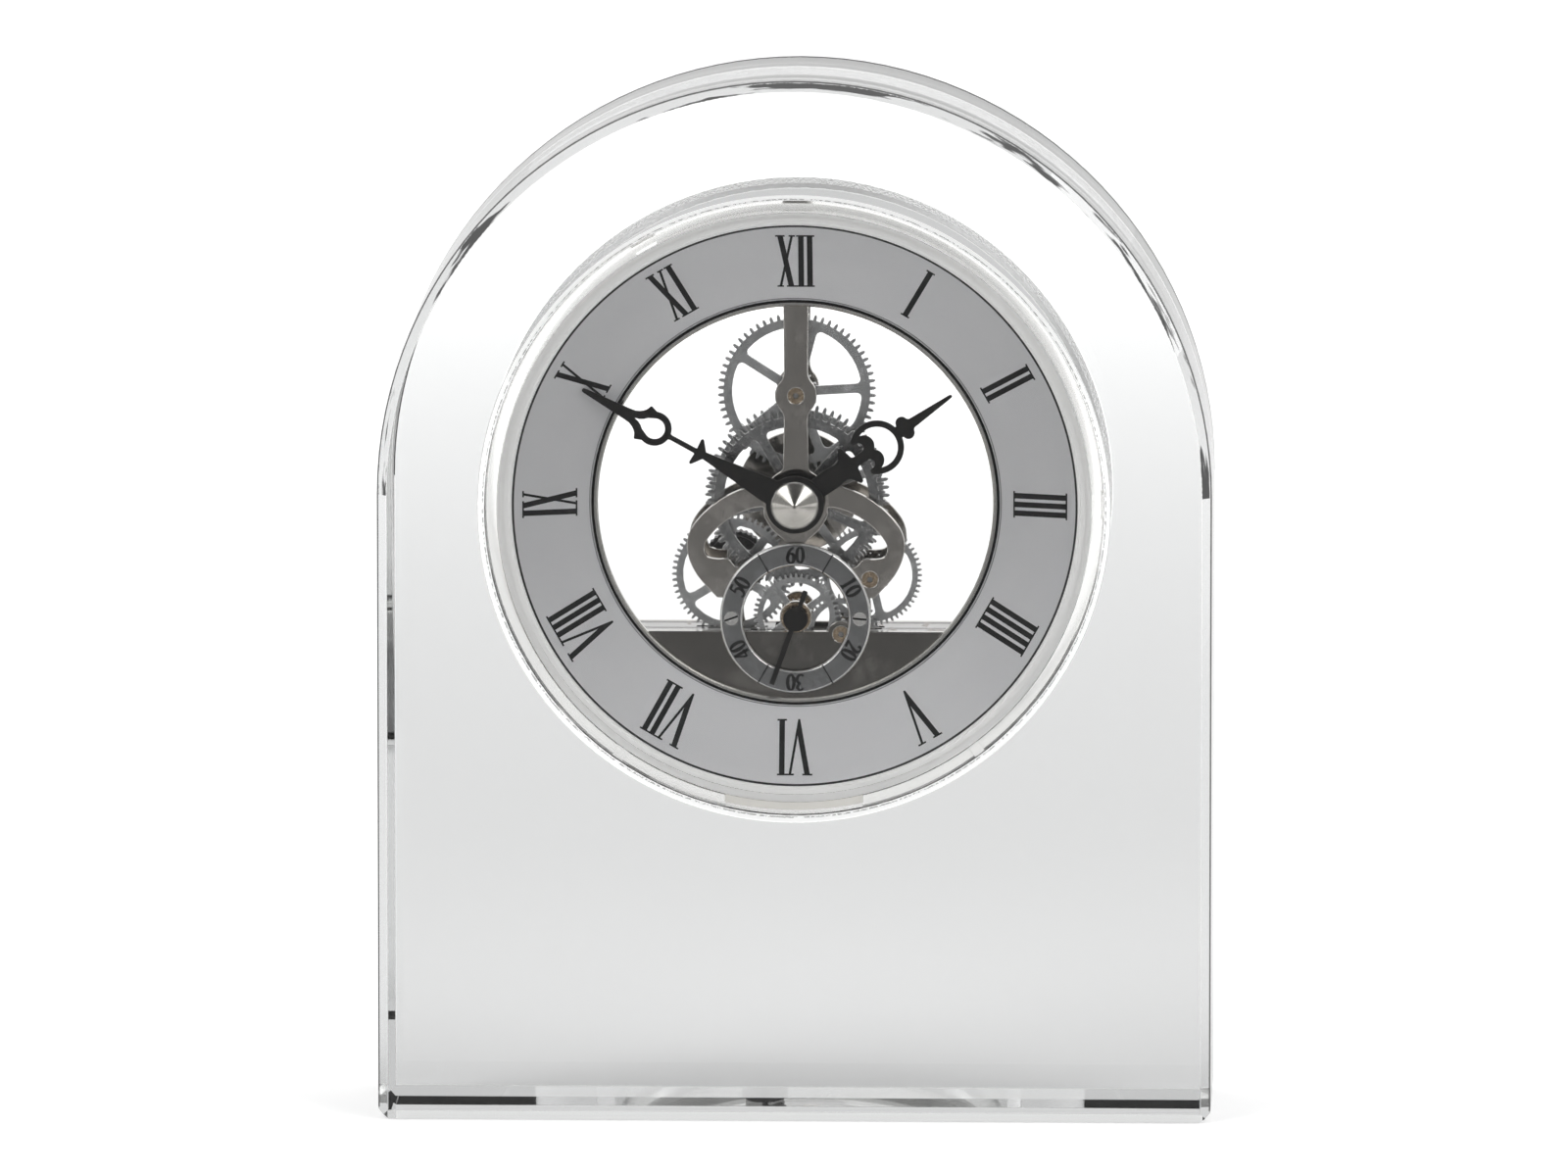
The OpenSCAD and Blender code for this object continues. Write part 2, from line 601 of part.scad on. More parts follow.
// Hands are drawn along +X from their axis and then turned to the time
module hand(p, a, d, t, outline, hole, bore_r, cap = -1) {
    difference() {
        slab(d, d + t) translate(p) rotate(a) difference() {
            polygon(concat(outline, flipped(outline)));
            if (len(hole) > 0) polygon(concat(hole, flipped(hole)));
        }
        rod(p, bore_r, d + cap, d + t + 1);
    }
}
// Half outline of the minute hand: hub, body, crossed spur, stem, pierced drop with ears, and blade
drop_at = 26.8;
drop_ro = 2.88;
drop_ri = 1.77;
function minute_half(tip) = concat(
    arc([0, 0], minute_hub_r, 176, 26, 20), [[6, 2.02], [10, 1.5], [13, 1.13], [17.3, 0.62]],
    arc([18.75, 2.05], 0.28, 155, -5, 4), [[18.95, 0.48], [19.4, 0.42], [23.6, 0.4]],
    arc([drop_at, 0], drop_ro, 170, 70, 11), arc([28.9, 2.8], 0.3, 130, 0, 4),
    [[29.45, 2.25], [29.85, 1.8], [30.35, 1.44], [31.1, 1.12], [32.2, 0.99], [tip - 4, 0.65], [tip - 0.5, 0.38],
    [tip - 0.12, 0.28], [tip, 0.1]]);
function minute_hole() = concat([[30.5, 0.06], [29.75, 0.26], [29.1, 0.64], [28.6, 1.1]],
    arc([drop_at, 0], drop_ri, 58, 176, 12));
module minute_hand() {
    color("black") hand(centre, minute_angle, d_minute, hand_t, minute_half(minute_len), minute_hole(),
        minute_r + seat);
}
// Half outline of the hour hand: hub, leaf, spur, stem, scroll that curls out into the open ring, bud and point
loop_at = [16.8, 0];
loop_ro = 4.54;
loop_ri = 3.5;
scroll_at = [15.1, 1.44];
scroll_r = 1.8;
notch_at = [14.25, 1.65];
notch_r = 0.8;
bud_at = [22.55, 1];
bud_r = 1.05;
function hour_half(tip) = concat(
    arc([0, 0], hour_hub_r, 176, 23, 18), [[5.6, 1.78], [7.7, 1.82], [9.4, 1.6], [10.1, 1.85], [10.5, 2.4]],
    arc([11.35, 3.05], 0.4, 165, 0, 5), [[12, 2], [12.2, 1.05], [12.6, notch_at[1] - notch_r]],
    arc(notch_at, notch_r, -90, 95, 9), [[13.8, 2.5], [13.58, 2.75]],
    arc(loop_at, loop_ro, 135, 13, 18), arc(bud_at, bud_r, 175, 8, 10), [[23.9, 0.85]],
    [[tip - 0.45, 0.3], [tip - 0.12, 0.23], [tip, 0.08]]);
function hour_hole() = let (p = meet(scroll_at, scroll_r, loop_at, loop_ri))
    concat(arc(loop_at, loop_ri, 4, bearing(loop_at, p), 14), arc(scroll_at, scroll_r, bearing(scroll_at, p) - 8, -50, 9));
module hour_hand() {
    color("black") hand(centre, hour_angle, d_hour, hand_t, hour_half(hour_len), hour_hole(), pipe_r + seat);
}
seconds_tail = 5.1;
hub_cap_t = 0.15;
function seconds_half(tip) = concat([[-seconds_tail, 0.28], [0.2 - seconds_tail, 0.44], [-seconds_hub_r - 0.05, 0.36]],
    arc([0, 0], seconds_hub_r, 168, 12, 12), [[tip - 0.1, 0.42], [tip, 0.34]]);
module seconds_hand() {
    color("black") hand(seconds_at, seconds_angle, d_seconds, seconds_hand_t, seconds_half(seconds_len), [],
        pivot_r + seat, hub_cap_t);
}

module hour_wheel() {
    color("dimgray") wheel(centre, hour_n, hour_module, d_layer2, hour_turn, 5, 48, pipe_r + seat, w = 1.65, rim = 2.8);
}
module hour_pipe() {
    color("silver") tube_at(centre, pipe_r, minute_r + run, d_hour, d_layer3 - 0.3);
}
module motion_wheel() {
    color("silver") wheel(motion_at, motion_n, motion_module, d_layer3, motion_turn, 5, 3.4, arbor_r + seat);
}
module motion_arbor() {
    color("silver") {
        arbor(motion_at);
        pinion(motion_at, motion_leaves, hour_module, d_layer2 - 0.2, d_layer3 - seat, motion_pinion_turn, arbor_r - 0.1);
    }
}
module third_wheel() {
    color("silver") wheel(third_at, third_n, third_module, d_layer3, third_turn, 3, 43, arbor_r + seat, 1.3, 1.65, 1.8);
}
module third_arbor() {
    color("silver") {
        arbor(third_at);
        pinion(third_at, third_leaves, centre_module, d_layer4 - 0.2, d_layer4 + wheel_t + 0.2, third_pinion_turn, arbor_r - 0.1);
    }
}
module fourth_wheel() {
    color("gainsboro") wheel(fourth_at, fourth_n, seconds_module, d_layer2, fourth_turn, 4, 15, arbor_r + seat, 1, 1.6, 1.8, 0.5);
}
module fourth_arbor() {
    color("silver") {
        arbor(fourth_at);
        pinion(fourth_at, fourth_leaves, third_module, d_layer3 - 0.2, d_layer3 + wheel_t + 0.2, fourth_pinion_turn, arbor_r - 0.1);
    }
}
module reversing_idler() {
    color("lightgray") pinion(idler_at, idler_n, seconds_module, d_layer2 - 0.2, d_layer3 + wheel_t + 0.2, idler_turn, stud_r + run);
}
module seconds_wheel() {
    color("silver") wheel(seconds_at, seconds_n, seconds_module, d_layer1, seconds_turn, 4, 35, arbor_r + seat, 1, 1.6, 1.8, 0.5);
}
module seconds_arbor() {
    color("silver") {
        arbor(seconds_at);
        rod(seconds_at, pivot_r, d_seconds + hub_cap_t + seat, d_front + 0.3);
        pinion(seconds_at, seconds_leaves, seconds_module, d_layer3 - 0.2, d_layer3 + wheel_t + 0.2,
            seconds_pinion_turn, arbor_r - 0.1);
    }
}
module setting_wheel() {
    color("silver") wheel(setting_at, setting_n, setting_module, d_layer3, 0, 3, 211, arbor_r + seat, 1.5, 1.9, 1.8);
}
// Setting arbor, which runs on through the rear cover to the knob
module setting_arbor() {
    color("silver") {
        rod(setting_at, arbor_r, d_box + 0.15, d_cover_back + knob_len - 1);
        rod(setting_at, pivot_r, d_blind + 0.1, d_box + 0.15);
        pinion(setting_at, setting_leaves, centre_module, d_layer4 - 0.2, d_layer4 + wheel_t + 0.2, setting_turn, arbor_r - 0.1);
    }
}
module setting_knob() {
    d0 = d_cover_back + 0.3;
    color("dimgray") difference() {
        union() {
            slab(d0 + 1, d_cover_back + knob_len - 0.6)
                translate(setting_at) polygon([for (i = [0:71]) polar(knob_d / 2 - (i % 2) * 0.3, i * 5)]);
            rod(setting_at, knob_d / 2 - 0.8, d0, d_cover_back + knob_len);
        }
        rod(setting_at, arbor_r + seat, d0 - 1, d_cover_back + knob_len - 1);
    }
}

module seconds_ring() {
    ro = ring_od / 2;
    ri = ring_id / 2;
    c = 0.3;
    color("slategray") difference() {
        turned(seconds_at) polygon([[ri + c, d_ring], [ro - c, d_ring], [ro, d_ring + c], [ro, d_ring + ring_t],
            [ri, d_ring + ring_t], [ri, d_ring + c]]);
        for (p = ring_fixes) {
            rod(p, screw_shank_r + seat, d_ring - 1, d_ring + ring_t + 1);
            rod(p, screw_r + run, d_ring - 1, d_ring + screw_head_h - 0.15);
        }
    }
}
module ring_screws() {
    color("silver") {
        slotted_screw(ring_fixes[0], d_ring + screw_head_h - 0.15, 20, -1, ring_t + spacer_h + plate_t - 0.8);
        slotted_screw(ring_fixes[1], d_ring + screw_head_h - 0.15, -5, -1, ring_t + spacer_h + plate_t - 0.8);
    }
}
module ring_spacers() {
    color("silver") for (p = ring_fixes) tube_at(p, 1.4, screw_shank_r + seat, d_ring + ring_t, d_front);
}

// Clear cover with three posts that press on the rear plate
module rear_cover() {
    color("white", 0.4) difference() {
        union() {
            rod(centre, rim_r, d_cover, d_cover_back);
            for (p = posts_at) rod(p, post_r, d_rear_back, d_cover + 0.1);
        }
        rod(setting_at, arbor_r + 0.4, d_cover - 1, d_cover_back + 1);
        rod(cell_at, cell_d / 2 + 2.2, d_cover - 1, d_cover_back + 1);
    }
}
// Round hatch with a coin slot, whose stem holds the cell in its holder
module battery_hatch() {
    r = cell_d / 2 + 2.2 - fit;
    color("whitesmoke", 0.5) difference() {
        union() {
            rod(cell_at, r, d_cover, d_cover_back);
            rod(cell_at, cell_d / 2 - 1.4, d_rear + 0.1, d_cover + 0.1);
        }
        translate([cell_at[0], d_cover_back - block_t / 2, axis_z + cell_at[1]]) cube([2 * r - 3, 1.6, 1.6], center = true);
    }
}
module button_cell() {
    color("silver") turned(cell_at) polygon([[0, d_rear - cell_h], [cell_d / 2 - 1, d_rear - cell_h],
        [cell_d / 2 - 1, d_rear - cell_h + 0.4], [cell_d / 2 - 0.4, d_rear - cell_h + 0.5],
        [cell_d / 2, d_rear - cell_h + 1], [cell_d / 2, d_rear - 0.2], [cell_d / 2 - 0.3, d_rear], [0, d_rear]]);
}
module cell_holder() {
    r = cell_d / 2 + cell_clear;
    d0 = d_rear - cell_h - 0.6;
    color("ivory") difference() {
        rod(cell_at, r + holder_wall, d0 - 0.8, d_rear);
        rod(cell_at, r, d0, d_rear + 1);
    }
}
// Leaf under the cell with a raised tongue
module cell_contact() {
    d1 = d_rear - cell_h;
    color("goldenrod") {
        slab(d1 - 0.6, d1 - 0.35) translate(cell_at) difference() {
            circle(r = cell_d / 2 - 0.4);
            translate([-1.4, -2.2]) square([2.8, cell_d / 2 + 1]);
        }
        slab(d1 - 0.6, d1) translate(cell_at) translate([-1, -3.2]) square([2, 1.1]);
    }
}

// Plastic base of the motor, with the studs that carry the idler and the step wheel
module motor_base() {
    inner = box_ri - 0.2;
    color("ivory") {
        difference() {
            slab(d_base, d_rear) union() {
                difference() {
                    intersection() {
                        circle(r = inner);
                        translate([-11, -41]) square([44.5, 41 - box_top - box_wall_t - 0.15]);
                    }
                    translate(cell_at) circle(r = cell_d / 2 + cell_clear + holder_wall + 0.2);
                    translate(fourth_at) circle(r = arbor_r + 0.3);
                }
                translate(idler_at) circle(r = 1.4);
            }
            translate([coil_x0 - 0.3, d_base - 1 - block_t / 2, axis_z + coil_z - coil_r - 0.3])
                cube([coil_len + 0.6, base_t + 2, 2 * coil_r + 0.6]);
        }
        rod(idler_at, stud_r, d_layer2 - 0.6, d_base + 0.1);
        rod(step_at, stud_r, d_layer1 - 0.2, d_base + 0.1);
        rod(rotor_at, stud_r / 2, d_layer4 - 0.5, d_base + 0.1);
    }
}
coil_x0 = 1.5;
coil_len = 9;
coil_z = -35;
coil_r = 2.4;
core_w = 1.6;
stator_x1 = 14;
// Stator: a loop that runs from the rotor's hole round through the coil
module stator() {
    top_z = rotor_at[1];
    color("gray") slab(d_stator, d_stator + stator_t) difference() {
        union() {
            translate(rotor_at) circle(r = 3.2);
            translate([rotor_at[0], top_z - 1.3]) square([stator_x1 - rotor_at[0], 2.6]);
            translate([stator_x1 - 1.3, coil_z - core_w / 2]) square([2.6, top_z - coil_z + core_w / 2 + 1.3]);
            translate([rotor_at[0] - 1.3, coil_z - core_w / 2]) square([2.6, top_z - coil_z]);
            translate([rotor_at[0] - 1.3, coil_z - core_w / 2]) square([stator_x1 - rotor_at[0] + 2.6, core_w]);
        }
        translate(rotor_at) circle(r = 1.9);
        translate(step_at) circle(r = stud_r + 0.3);
    }
}
module coil() {
    color("chocolate") difference() {
        union() {
            along_x(coil_x0 + 0.6, coil_len - 1.2, coil_r - 0.3);
            along_x(coil_x0, 0.6, coil_r);
            along_x(coil_x0 + coil_len - 0.6, 0.6, coil_r);
        }
        translate([coil_x0 - 1, d_stator - seat - block_t / 2, axis_z + coil_z - core_w / 2 - seat])
            cube([coil_len + 2, stator_t + 2 * seat, core_w + 2 * seat]);
    }
}
module along_x(x, l, r) {
    translate([x, d_stator + stator_t / 2 - block_t / 2, axis_z + coil_z]) rotate([0, 90, 0]) cylinder(r = r, h = l);
}
module rotor() {
    hole = stud_r / 2 + run;
    color("slategray") {
        tube_at(rotor_at, 1.5, hole, d_stator, d_stator + stator_t - 0.1);
        pinion(rotor_at, rotor_leaves, step_module, d_layer4 - 0.3, d_stator, rotor_turn, hole);
    }
}
// Step wheel and its long pinion, which turns the seconds wheel
module step_wheel() {
    hole = stud_r + run;
    color("ivory") {
        pinion(step_at, step_leaves, seconds_module, d_layer1 - 0.1, d_layer1 + wheel_t + 0.2, step_pinion_turn, hole);
        tube_at(step_at, 1.1, hole, d_layer1 + wheel_t + 0.2, d_layer4);
        pinion(step_at, step_n, step_module, d_layer4, d_layer4 + 0.6, step_turn, hole);
    }
}
module circuit_board() {
    color("seagreen") slab(d_base - 0.8, d_base) translate([17.5, -34]) square([15.5, 9]);
}
module quartz_can() {
    color("silver") translate([20, d_base - 0.8 - 0.95 - block_t / 2, axis_z - 30]) rotate([0, 90, 0])
        cylinder(r = 0.95, h = 6);
}

crystal_block();
case_tube();
front_lens();
bezel_ring();
dial_ring();
dial_collar();
front_plate();
rear_plate();
movement_box();
plate_pillars();
rear_screws();
front_bushings();
rear_bushings();
minute_arbor();
centre_wheel();
cannon_pinion();
minute_hand();
cap_nut();
hour_wheel();
hour_pipe();
hour_hand();
motion_wheel();
motion_arbor();
third_wheel();
third_arbor();
fourth_wheel();
fourth_arbor();
reversing_idler();
seconds_wheel();
seconds_arbor();
seconds_hand();
seconds_ring();
ring_screws();
ring_spacers();
setting_wheel();
setting_arbor();
setting_knob();
rear_cover();
battery_hatch();
button_cell();
cell_holder();
cell_contact();
motor_base();
stator();
coil();
rotor();
step_wheel();
circuit_board();
quartz_can();
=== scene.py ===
"""Crystal desk clock: the arched block, the dial and the open movement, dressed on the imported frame."""
import math
import bpy
import numpy as np
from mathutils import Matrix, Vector


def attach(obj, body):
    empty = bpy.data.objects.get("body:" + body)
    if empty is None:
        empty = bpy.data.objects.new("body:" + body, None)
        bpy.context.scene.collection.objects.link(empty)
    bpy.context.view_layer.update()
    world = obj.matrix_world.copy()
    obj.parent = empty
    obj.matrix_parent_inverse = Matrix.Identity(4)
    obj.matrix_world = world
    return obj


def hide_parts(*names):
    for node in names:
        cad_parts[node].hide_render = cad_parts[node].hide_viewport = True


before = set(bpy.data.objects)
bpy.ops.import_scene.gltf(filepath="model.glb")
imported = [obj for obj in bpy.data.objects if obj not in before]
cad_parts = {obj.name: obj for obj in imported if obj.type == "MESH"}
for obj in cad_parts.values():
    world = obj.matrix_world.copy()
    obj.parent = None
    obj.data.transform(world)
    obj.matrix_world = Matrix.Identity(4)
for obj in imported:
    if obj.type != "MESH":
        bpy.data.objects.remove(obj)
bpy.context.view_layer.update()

# The room
# A plain white table under soft studio light. The wall behind the camera is unlit, so metal that faces the
# camera reads dark and its edges read bright. The table is white to the camera and a little greyer near the
# clock where it is seen through the crystal.
bpy.context.scene.view_settings.view_transform = "Standard"
mm = 0.001


class Value:
    """A number inside a material. Sums and products of it add their own Math nodes."""

    def __init__(self, finish, socket):
        self.finish, self.socket = finish, socket

    def math(self, operation, *others):
        values = dict(enumerate((self,) + others))
        return self.finish.node("Math", values, operation=operation)

    def __add__(self, other):
        return self.math("ADD", other)

    def __radd__(self, other):
        return self.math("ADD", other)

    def __sub__(self, other):
        return self.math("SUBTRACT", other)

    def __rsub__(self, other):
        return self.math("MULTIPLY_ADD", -1.0, other)

    def __mul__(self, other):
        return self.math("MULTIPLY", other)

    def __rmul__(self, other):
        return self.math("MULTIPLY", other)

    def __truediv__(self, other):
        return self.math("DIVIDE", other)

    def __pow__(self, other):
        return self.math("POWER", other)

    def __gt__(self, other):
        return self.math("GREATER_THAN", other)

    def __lt__(self, other):
        return self.math("LESS_THAN", other)

    def __abs__(self):
        return self.math("ABSOLUTE")

    def step(self, low, high):
        """0 below low, 1 above high, and a smooth rise between them. Where high is lower it falls instead."""
        return self.finish.node("MapRange", {"Value": self, "From Min": low, "From Max": high},
                                interpolation_type="SMOOTHSTEP")

    def band(self, low, high, soft):
        """1 between low and high, 0 outside them, with edges of the width soft."""
        return self.step(low - soft, low) * self.step(high + soft, high)


class Finish:
    """One finish of the clock: a shader whose sockets are set by name, and the nodes that vary it."""

    def __init__(self, name, sockets, tree=None, shader="BsdfPrincipled"):
        if tree is None:
            self.material = bpy.data.materials.new(name)
            self.material.use_nodes = True
            tree = self.material.node_tree
        self.tree = tree
        self.tree.nodes.clear()
        self.shader = self.tree.nodes.new("ShaderNode" + shader)
        kind = "World" if shader == "Background" else "Material"
        self.surface = self.tree.nodes.new("ShaderNodeOutput" + kind).inputs["Surface"]
        self.tree.links.new(self.shader.outputs[0], self.surface)
        self.set(**sockets)

    def plug(self, socket, value):
        """Links a value inside the material, or writes a number or a colour, which is given without alpha."""
        if isinstance(value, Value):
            self.tree.links.new(value.socket, socket)
        elif isinstance(value, tuple) and len(value) == 3 and socket.type == "RGBA":
            socket.default_value = value + (1.0,)
        else:
            socket.default_value = value

    def set(self, shader=None, **sockets):
        """Sets sockets of the shader. Their names are written with _ for a space."""
        for name, value in sockets.items():
            self.plug((shader or self.shader).inputs[name.replace("_", " ")], value)

    def cover(self, factor, **sockets):
        """Lays a second finish over the first where factor is 1."""
        over = self.tree.nodes.new("ShaderNodeBsdfPrincipled")
        self.set(over, **sockets)
        mixer = self.tree.nodes.new("ShaderNodeMixShader")
        self.plug(mixer.inputs[0], factor)
        self.tree.links.new(self.shader.outputs[0], mixer.inputs[1])
        self.tree.links.new(over.outputs[0], mixer.inputs[2])
        self.tree.links.new(mixer.outputs[0], self.surface)

    def node(self, kind, values, out=0, stops=None, **settings):
        """Adds a node of this kind, with its settings first, and returns one of its outputs."""
        node = self.tree.nodes.new("ShaderNode" + kind)
        for name, value in settings.items():
            setattr(node, name, value)
        if stops:
            while len(node.color_ramp.elements) < len(stops):
                node.color_ramp.elements.new(1.0)
            for element, (place, colour) in zip(node.color_ramp.elements, stops):
                element.position, element.color = place, colour + (1.0,)
        for name, value in values.items():
            self.plug(node.inputs[name], value)
        return Value(self, node.outputs[out])

    def place(self, kind="Object"):
        """x, y and z of the point, or of another output of Texture Coordinate."""
        vector = self.node("TexCoord", {}, out=kind)
        return [self.node("SeparateXYZ", {"Vector": vector}, out=i) for i in range(3)]

    def vector(self, x, y, z):
        return self.node("CombineXYZ", {"X": x, "Y": y, "Z": z})

    def grey(self, level):
        """The colour whose three parts are this level."""
        return self.node("CombineColor", {"Red": level, "Green": level, "Blue": level})

    def noise(self, vector, scale, detail=2.0, rough=0.5):
        """Cloudy noise from 0 to 1 about a mean of one half."""
        return self.node("TexNoise", {"Vector": vector, "Scale": scale, "Detail": detail, "Roughness": rough})

    def ramp(self, factor, *stops):
        return self.node("ValToRGB", {"Fac": factor}, stops=stops)

    def mix(self, factor, a, b):
        """Colour a where factor is 0 and colour b where it is 1."""
        return self.node("Mix", {0: factor, 6: a, 7: b}, out=2, data_type="RGBA")

    def bump(self, height, distance):
        return self.node("Bump", {"Height": height, "Distance": distance})

    def edges(self, radius):
        """The normal of a part whose edges are broken with this radius, and a mask that is 1 on them."""
        normal = self.node("Bevel", {"Radius": radius}, samples=6)
        flat = self.node("NewGeometry", {}, out="True Normal")
        along = self.node("VectorMath", {0: normal, 1: flat}, out="Value", operation="DOT_PRODUCT")
        return normal, (1.0 - along).step(0.015, 0.10)

    def grained(self, dark, light, rough, spread, scale=1.0, stretch=(1.0, 1.0, 1.0), detail=3.0, high=0.7):
        """One noise runs the colour from dark to light and the roughness up from rough, and is returned. It
        is finer along an axis whose stretch is greater."""
        x, y, z = [part * factor for part, factor in zip(self.place(), stretch)]
        grain = self.noise(self.vector(x, y, z), scale, detail)
        self.set(Base_Color=self.ramp(grain, (0.3, dark), (high, light)), Roughness=rough + spread * grain)
        return grain

    def dress(self, *pieces):
        """Gives this finish to carried-over nodes, by name, or to new pieces."""
        for piece in pieces:
            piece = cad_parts[piece] if isinstance(piece, str) else piece
            if not piece.material_slots:
                piece.data.materials.append(self.material)
            for slot in piece.material_slots:
                slot.material = self.material


def surface(name, sheets, smooth=30.0):
    """A mesh of several sheets. A sheet is an array of rows by columns of points, and its faces join
    neighbours in row and column. Repeating the first row or column as the last one closes it; doubles are
    merged."""
    points, faces, start = [], [], 0
    for sheet in sheets:
        rows, columns = sheet.shape[:2]
        number = start + np.arange(rows * columns).reshape(rows, columns)
        corners = [number[:-1, :-1], number[1:, :-1], number[1:, 1:], number[:-1, 1:]]
        faces.append(np.stack(corners, -1).reshape(-1, 4))
        points.append(sheet.reshape(-1, 3))
        start += rows * columns
    points, faces = np.concatenate(points), np.concatenate(faces)
    keys = np.round(points * 1e8).astype(np.int64)
    first, same = np.unique(keys, axis=0, return_index=True, return_inverse=True)[1:]
    faces = [list(dict.fromkeys(face)) for face in same.reshape(-1)[faces].tolist()]
    mesh = bpy.data.meshes.new(name)
    mesh.from_pydata(points[first].tolist(), [], [face for face in faces if len(face) > 2])
    mesh.shade_smooth()
    mesh.set_sharp_from_angle(angle=math.radians(smooth))
    piece = bpy.data.objects.new(name, mesh)
    bpy.context.scene.collection.objects.link(piece)
    return piece


table_r, table_drop = 7.0, 0.02 * mm
ring, turn = np.meshgrid(np.linspace(0, 1, 9) ** 2 * table_r, np.linspace(0, 2 * np.pi, 65), indexing="ij")
table = surface("table", [np.stack([ring * np.cos(turn), ring * np.sin(turn), 0 * ring - table_drop], -1)])

# The table glows white to the camera, a little in mirrors, and to a straight look through the crystal,
# where it rises with the distance. A patch before the clock is dark, for polished metal to mirror, and
# glows the more to the camera, which hides it.
to_camera_glow, mirror_glow, patch_glow, patch_grey = 0.36, 0.10, 0.6, (0.11, 0.11, 0.11)
near_glow, far_glow, glow_reach, glow_limit, glow_rise = 0.10, 0.53, 0.95, 1.3, 2.6
white = Finish("table_white", dict(Roughness=0.7, Specular_IOR_Level=0.2, Emission_Strength=1.0))
x, y, z = white.place()
far_off = (x * x + y * y) ** 0.5
patch = (0.0 - y).step(0.12, 0.35) * abs(x).step(0.62, 0.30)
to_camera, mirrored, through = [white.node("LightPath", {}, out=f"Is {ray} Ray")
                                for ray in ("Camera", "Glossy", "Transmission")]
bounces = white.node("LightPath", {}, out="Glossy Depth") + white.node("LightPath", {}, out="Diffuse Depth")
straight = through * (bounces < 0.5)
rise = (far_off * glow_reach).math("MINIMUM", glow_limit) ** glow_rise
seen_through = near_glow + far_glow * rise + patch_glow * patch
glow = (to_camera_glow + patch_glow * patch) * to_camera + mirror_glow * (1.0 - patch) * mirrored \
    + seen_through * straight
grain = white.noise(white.vector(x, y, z), 900.0, 1.0)
board = white.mix(grain, (0.62, 0.62, 0.62), (0.64, 0.64, 0.64))
white.set(Base_Color=white.mix(patch, board, patch_grey), Emission_Color=white.grey(glow))
white.dress(table)

# The air is bright, but dark behind the camera, where only a wall high on both sides is softly lit.
air_level, unlit_loss, overhead_gain, wall_gain, camera_side_loss = 0.92, 0.70, 0.20, 2.4, 0.80
world = bpy.data.worlds.new("studio")
bpy.context.scene.world = world
world.use_nodes = True
air = Finish("studio", {}, tree=world.node_tree, shader="Background")
x, y, z = air.place("Generated")
low, column = z.step(0.50, 0.22), abs(x).step(0.42, 0.26)
unlit = (0.0 - y).step(0.15, 0.80) * (low + column * (1.0 - low))
lit_wall = (0.0 - y).step(0.15, 0.50) * z.step(0.30, 0.50) * (1.0 - column)
behind_camera = (0.0 - y).step(0.15, 0.60) * column * z.step(0.22, 0.42)
light = air_level - unlit_loss * unlit + overhead_gain * z.step(0.2, 0.95) + wall_gain * lit_wall
air.set(Color=air.grey(light * (1.0 - camera_side_loss * behind_camera)), Strength=1.0)


lamp_aim = Vector((0.0, 0.0, 0.1))


def softbox(name, place, width, height, power):
    """An area lamp that is turned towards the clock and isn't seen through glass."""
    lamp = bpy.data.lights.new(name, "AREA")
    lamp.shape, lamp.size, lamp.size_y, lamp.energy = "RECTANGLE", width, height, power
    holder = bpy.data.objects.new(name, lamp)
    holder.location = place
    holder.visible_transmission = False
    holder.rotation_euler = (lamp_aim - Vector(place)).to_track_quat("-Z", "Y").to_euler()
    bpy.context.scene.collection.objects.link(holder)


softbox("softbox_left", (-1.5, -0.9, 1.3), 1.2, 1.2, 11.5)
softbox("softbox_right", (1.6, -0.5, 1.0), 0.9, 1.4, 13.5)

# The camera stands 8 degrees above the table and 1.9 degrees to the right, far off with a long lens.
camera_far, frame_width, film_width = 3.5, 262.7 * mm, 36.0
aim = Vector((-1.64, -20.0, 90.7)) * mm
lift, side = math.radians(8.0), math.radians(1.9)
outwards = Vector((math.sin(side) * math.cos(lift), -math.cos(side) * math.cos(lift), math.sin(lift)))
long_lens = bpy.data.cameras.new("camera")
long_lens.sensor_width = film_width
long_lens.lens = film_width * camera_far / frame_width
long_lens.clip_start, long_lens.clip_end = 0.1, 30.0
camera = bpy.data.objects.new("camera", long_lens)
camera.location = aim + outwards * camera_far
camera.rotation_euler = (-outwards).to_track_quat("-Z", "Y").to_euler()
bpy.context.scene.collection.objects.link(camera)
bpy.context.scene.camera = camera

# Crystal block
# A solid block of optical crystal, sawn, bored and polished. Its faces and chamfers are clear; the bore and
# the chamfers at its mouths are left finely ground, which makes them pale and slightly chipped, and the
# ground mouths are given a faint painted glow. Painted highlights, painted shade and painted dark reflections
# are also tinted into the glass along its arrises and outline faces.
axis_z, front_y, block_t = 104.0 * mm, -20.0 * mm, 40.0
arch_r, arch_z, chamfer = 70.0, 106.0, 1.7
bore_r, mouth_r, mouth_t = 52.0, 52.9, 1.1
inner_arris_t, outer_arris_t, far_arris_t = 0.10, 0.26, 1.6


def off_axis(x, z, height=axis_z):
    """Distance in millimetres from the axis that lies at this height and runs from front to back."""
    return ((x * x + (z - height) ** 2.0) ** 0.5) / mm


crystal = Finish("crystal", dict(IOR=1.52, Transmission_Weight=1.0, Emission_Strength=0.16))
x, y, z = crystal.place()
out = off_axis(x, z)
depth = (y - front_y) / mm
to_face = depth.math("MINIMUM", block_t - depth)
above = (z / mm - arch_z).math("MAXIMUM", 0.0)
inset = (arch_r - ((x / mm) ** 2.0 + above ** 2.0) ** 0.5).math("MINIMUM", z / mm)
far_side = depth > block_t / 2
arch = z > arch_z * mm
over_foot = z > 2.0 * mm
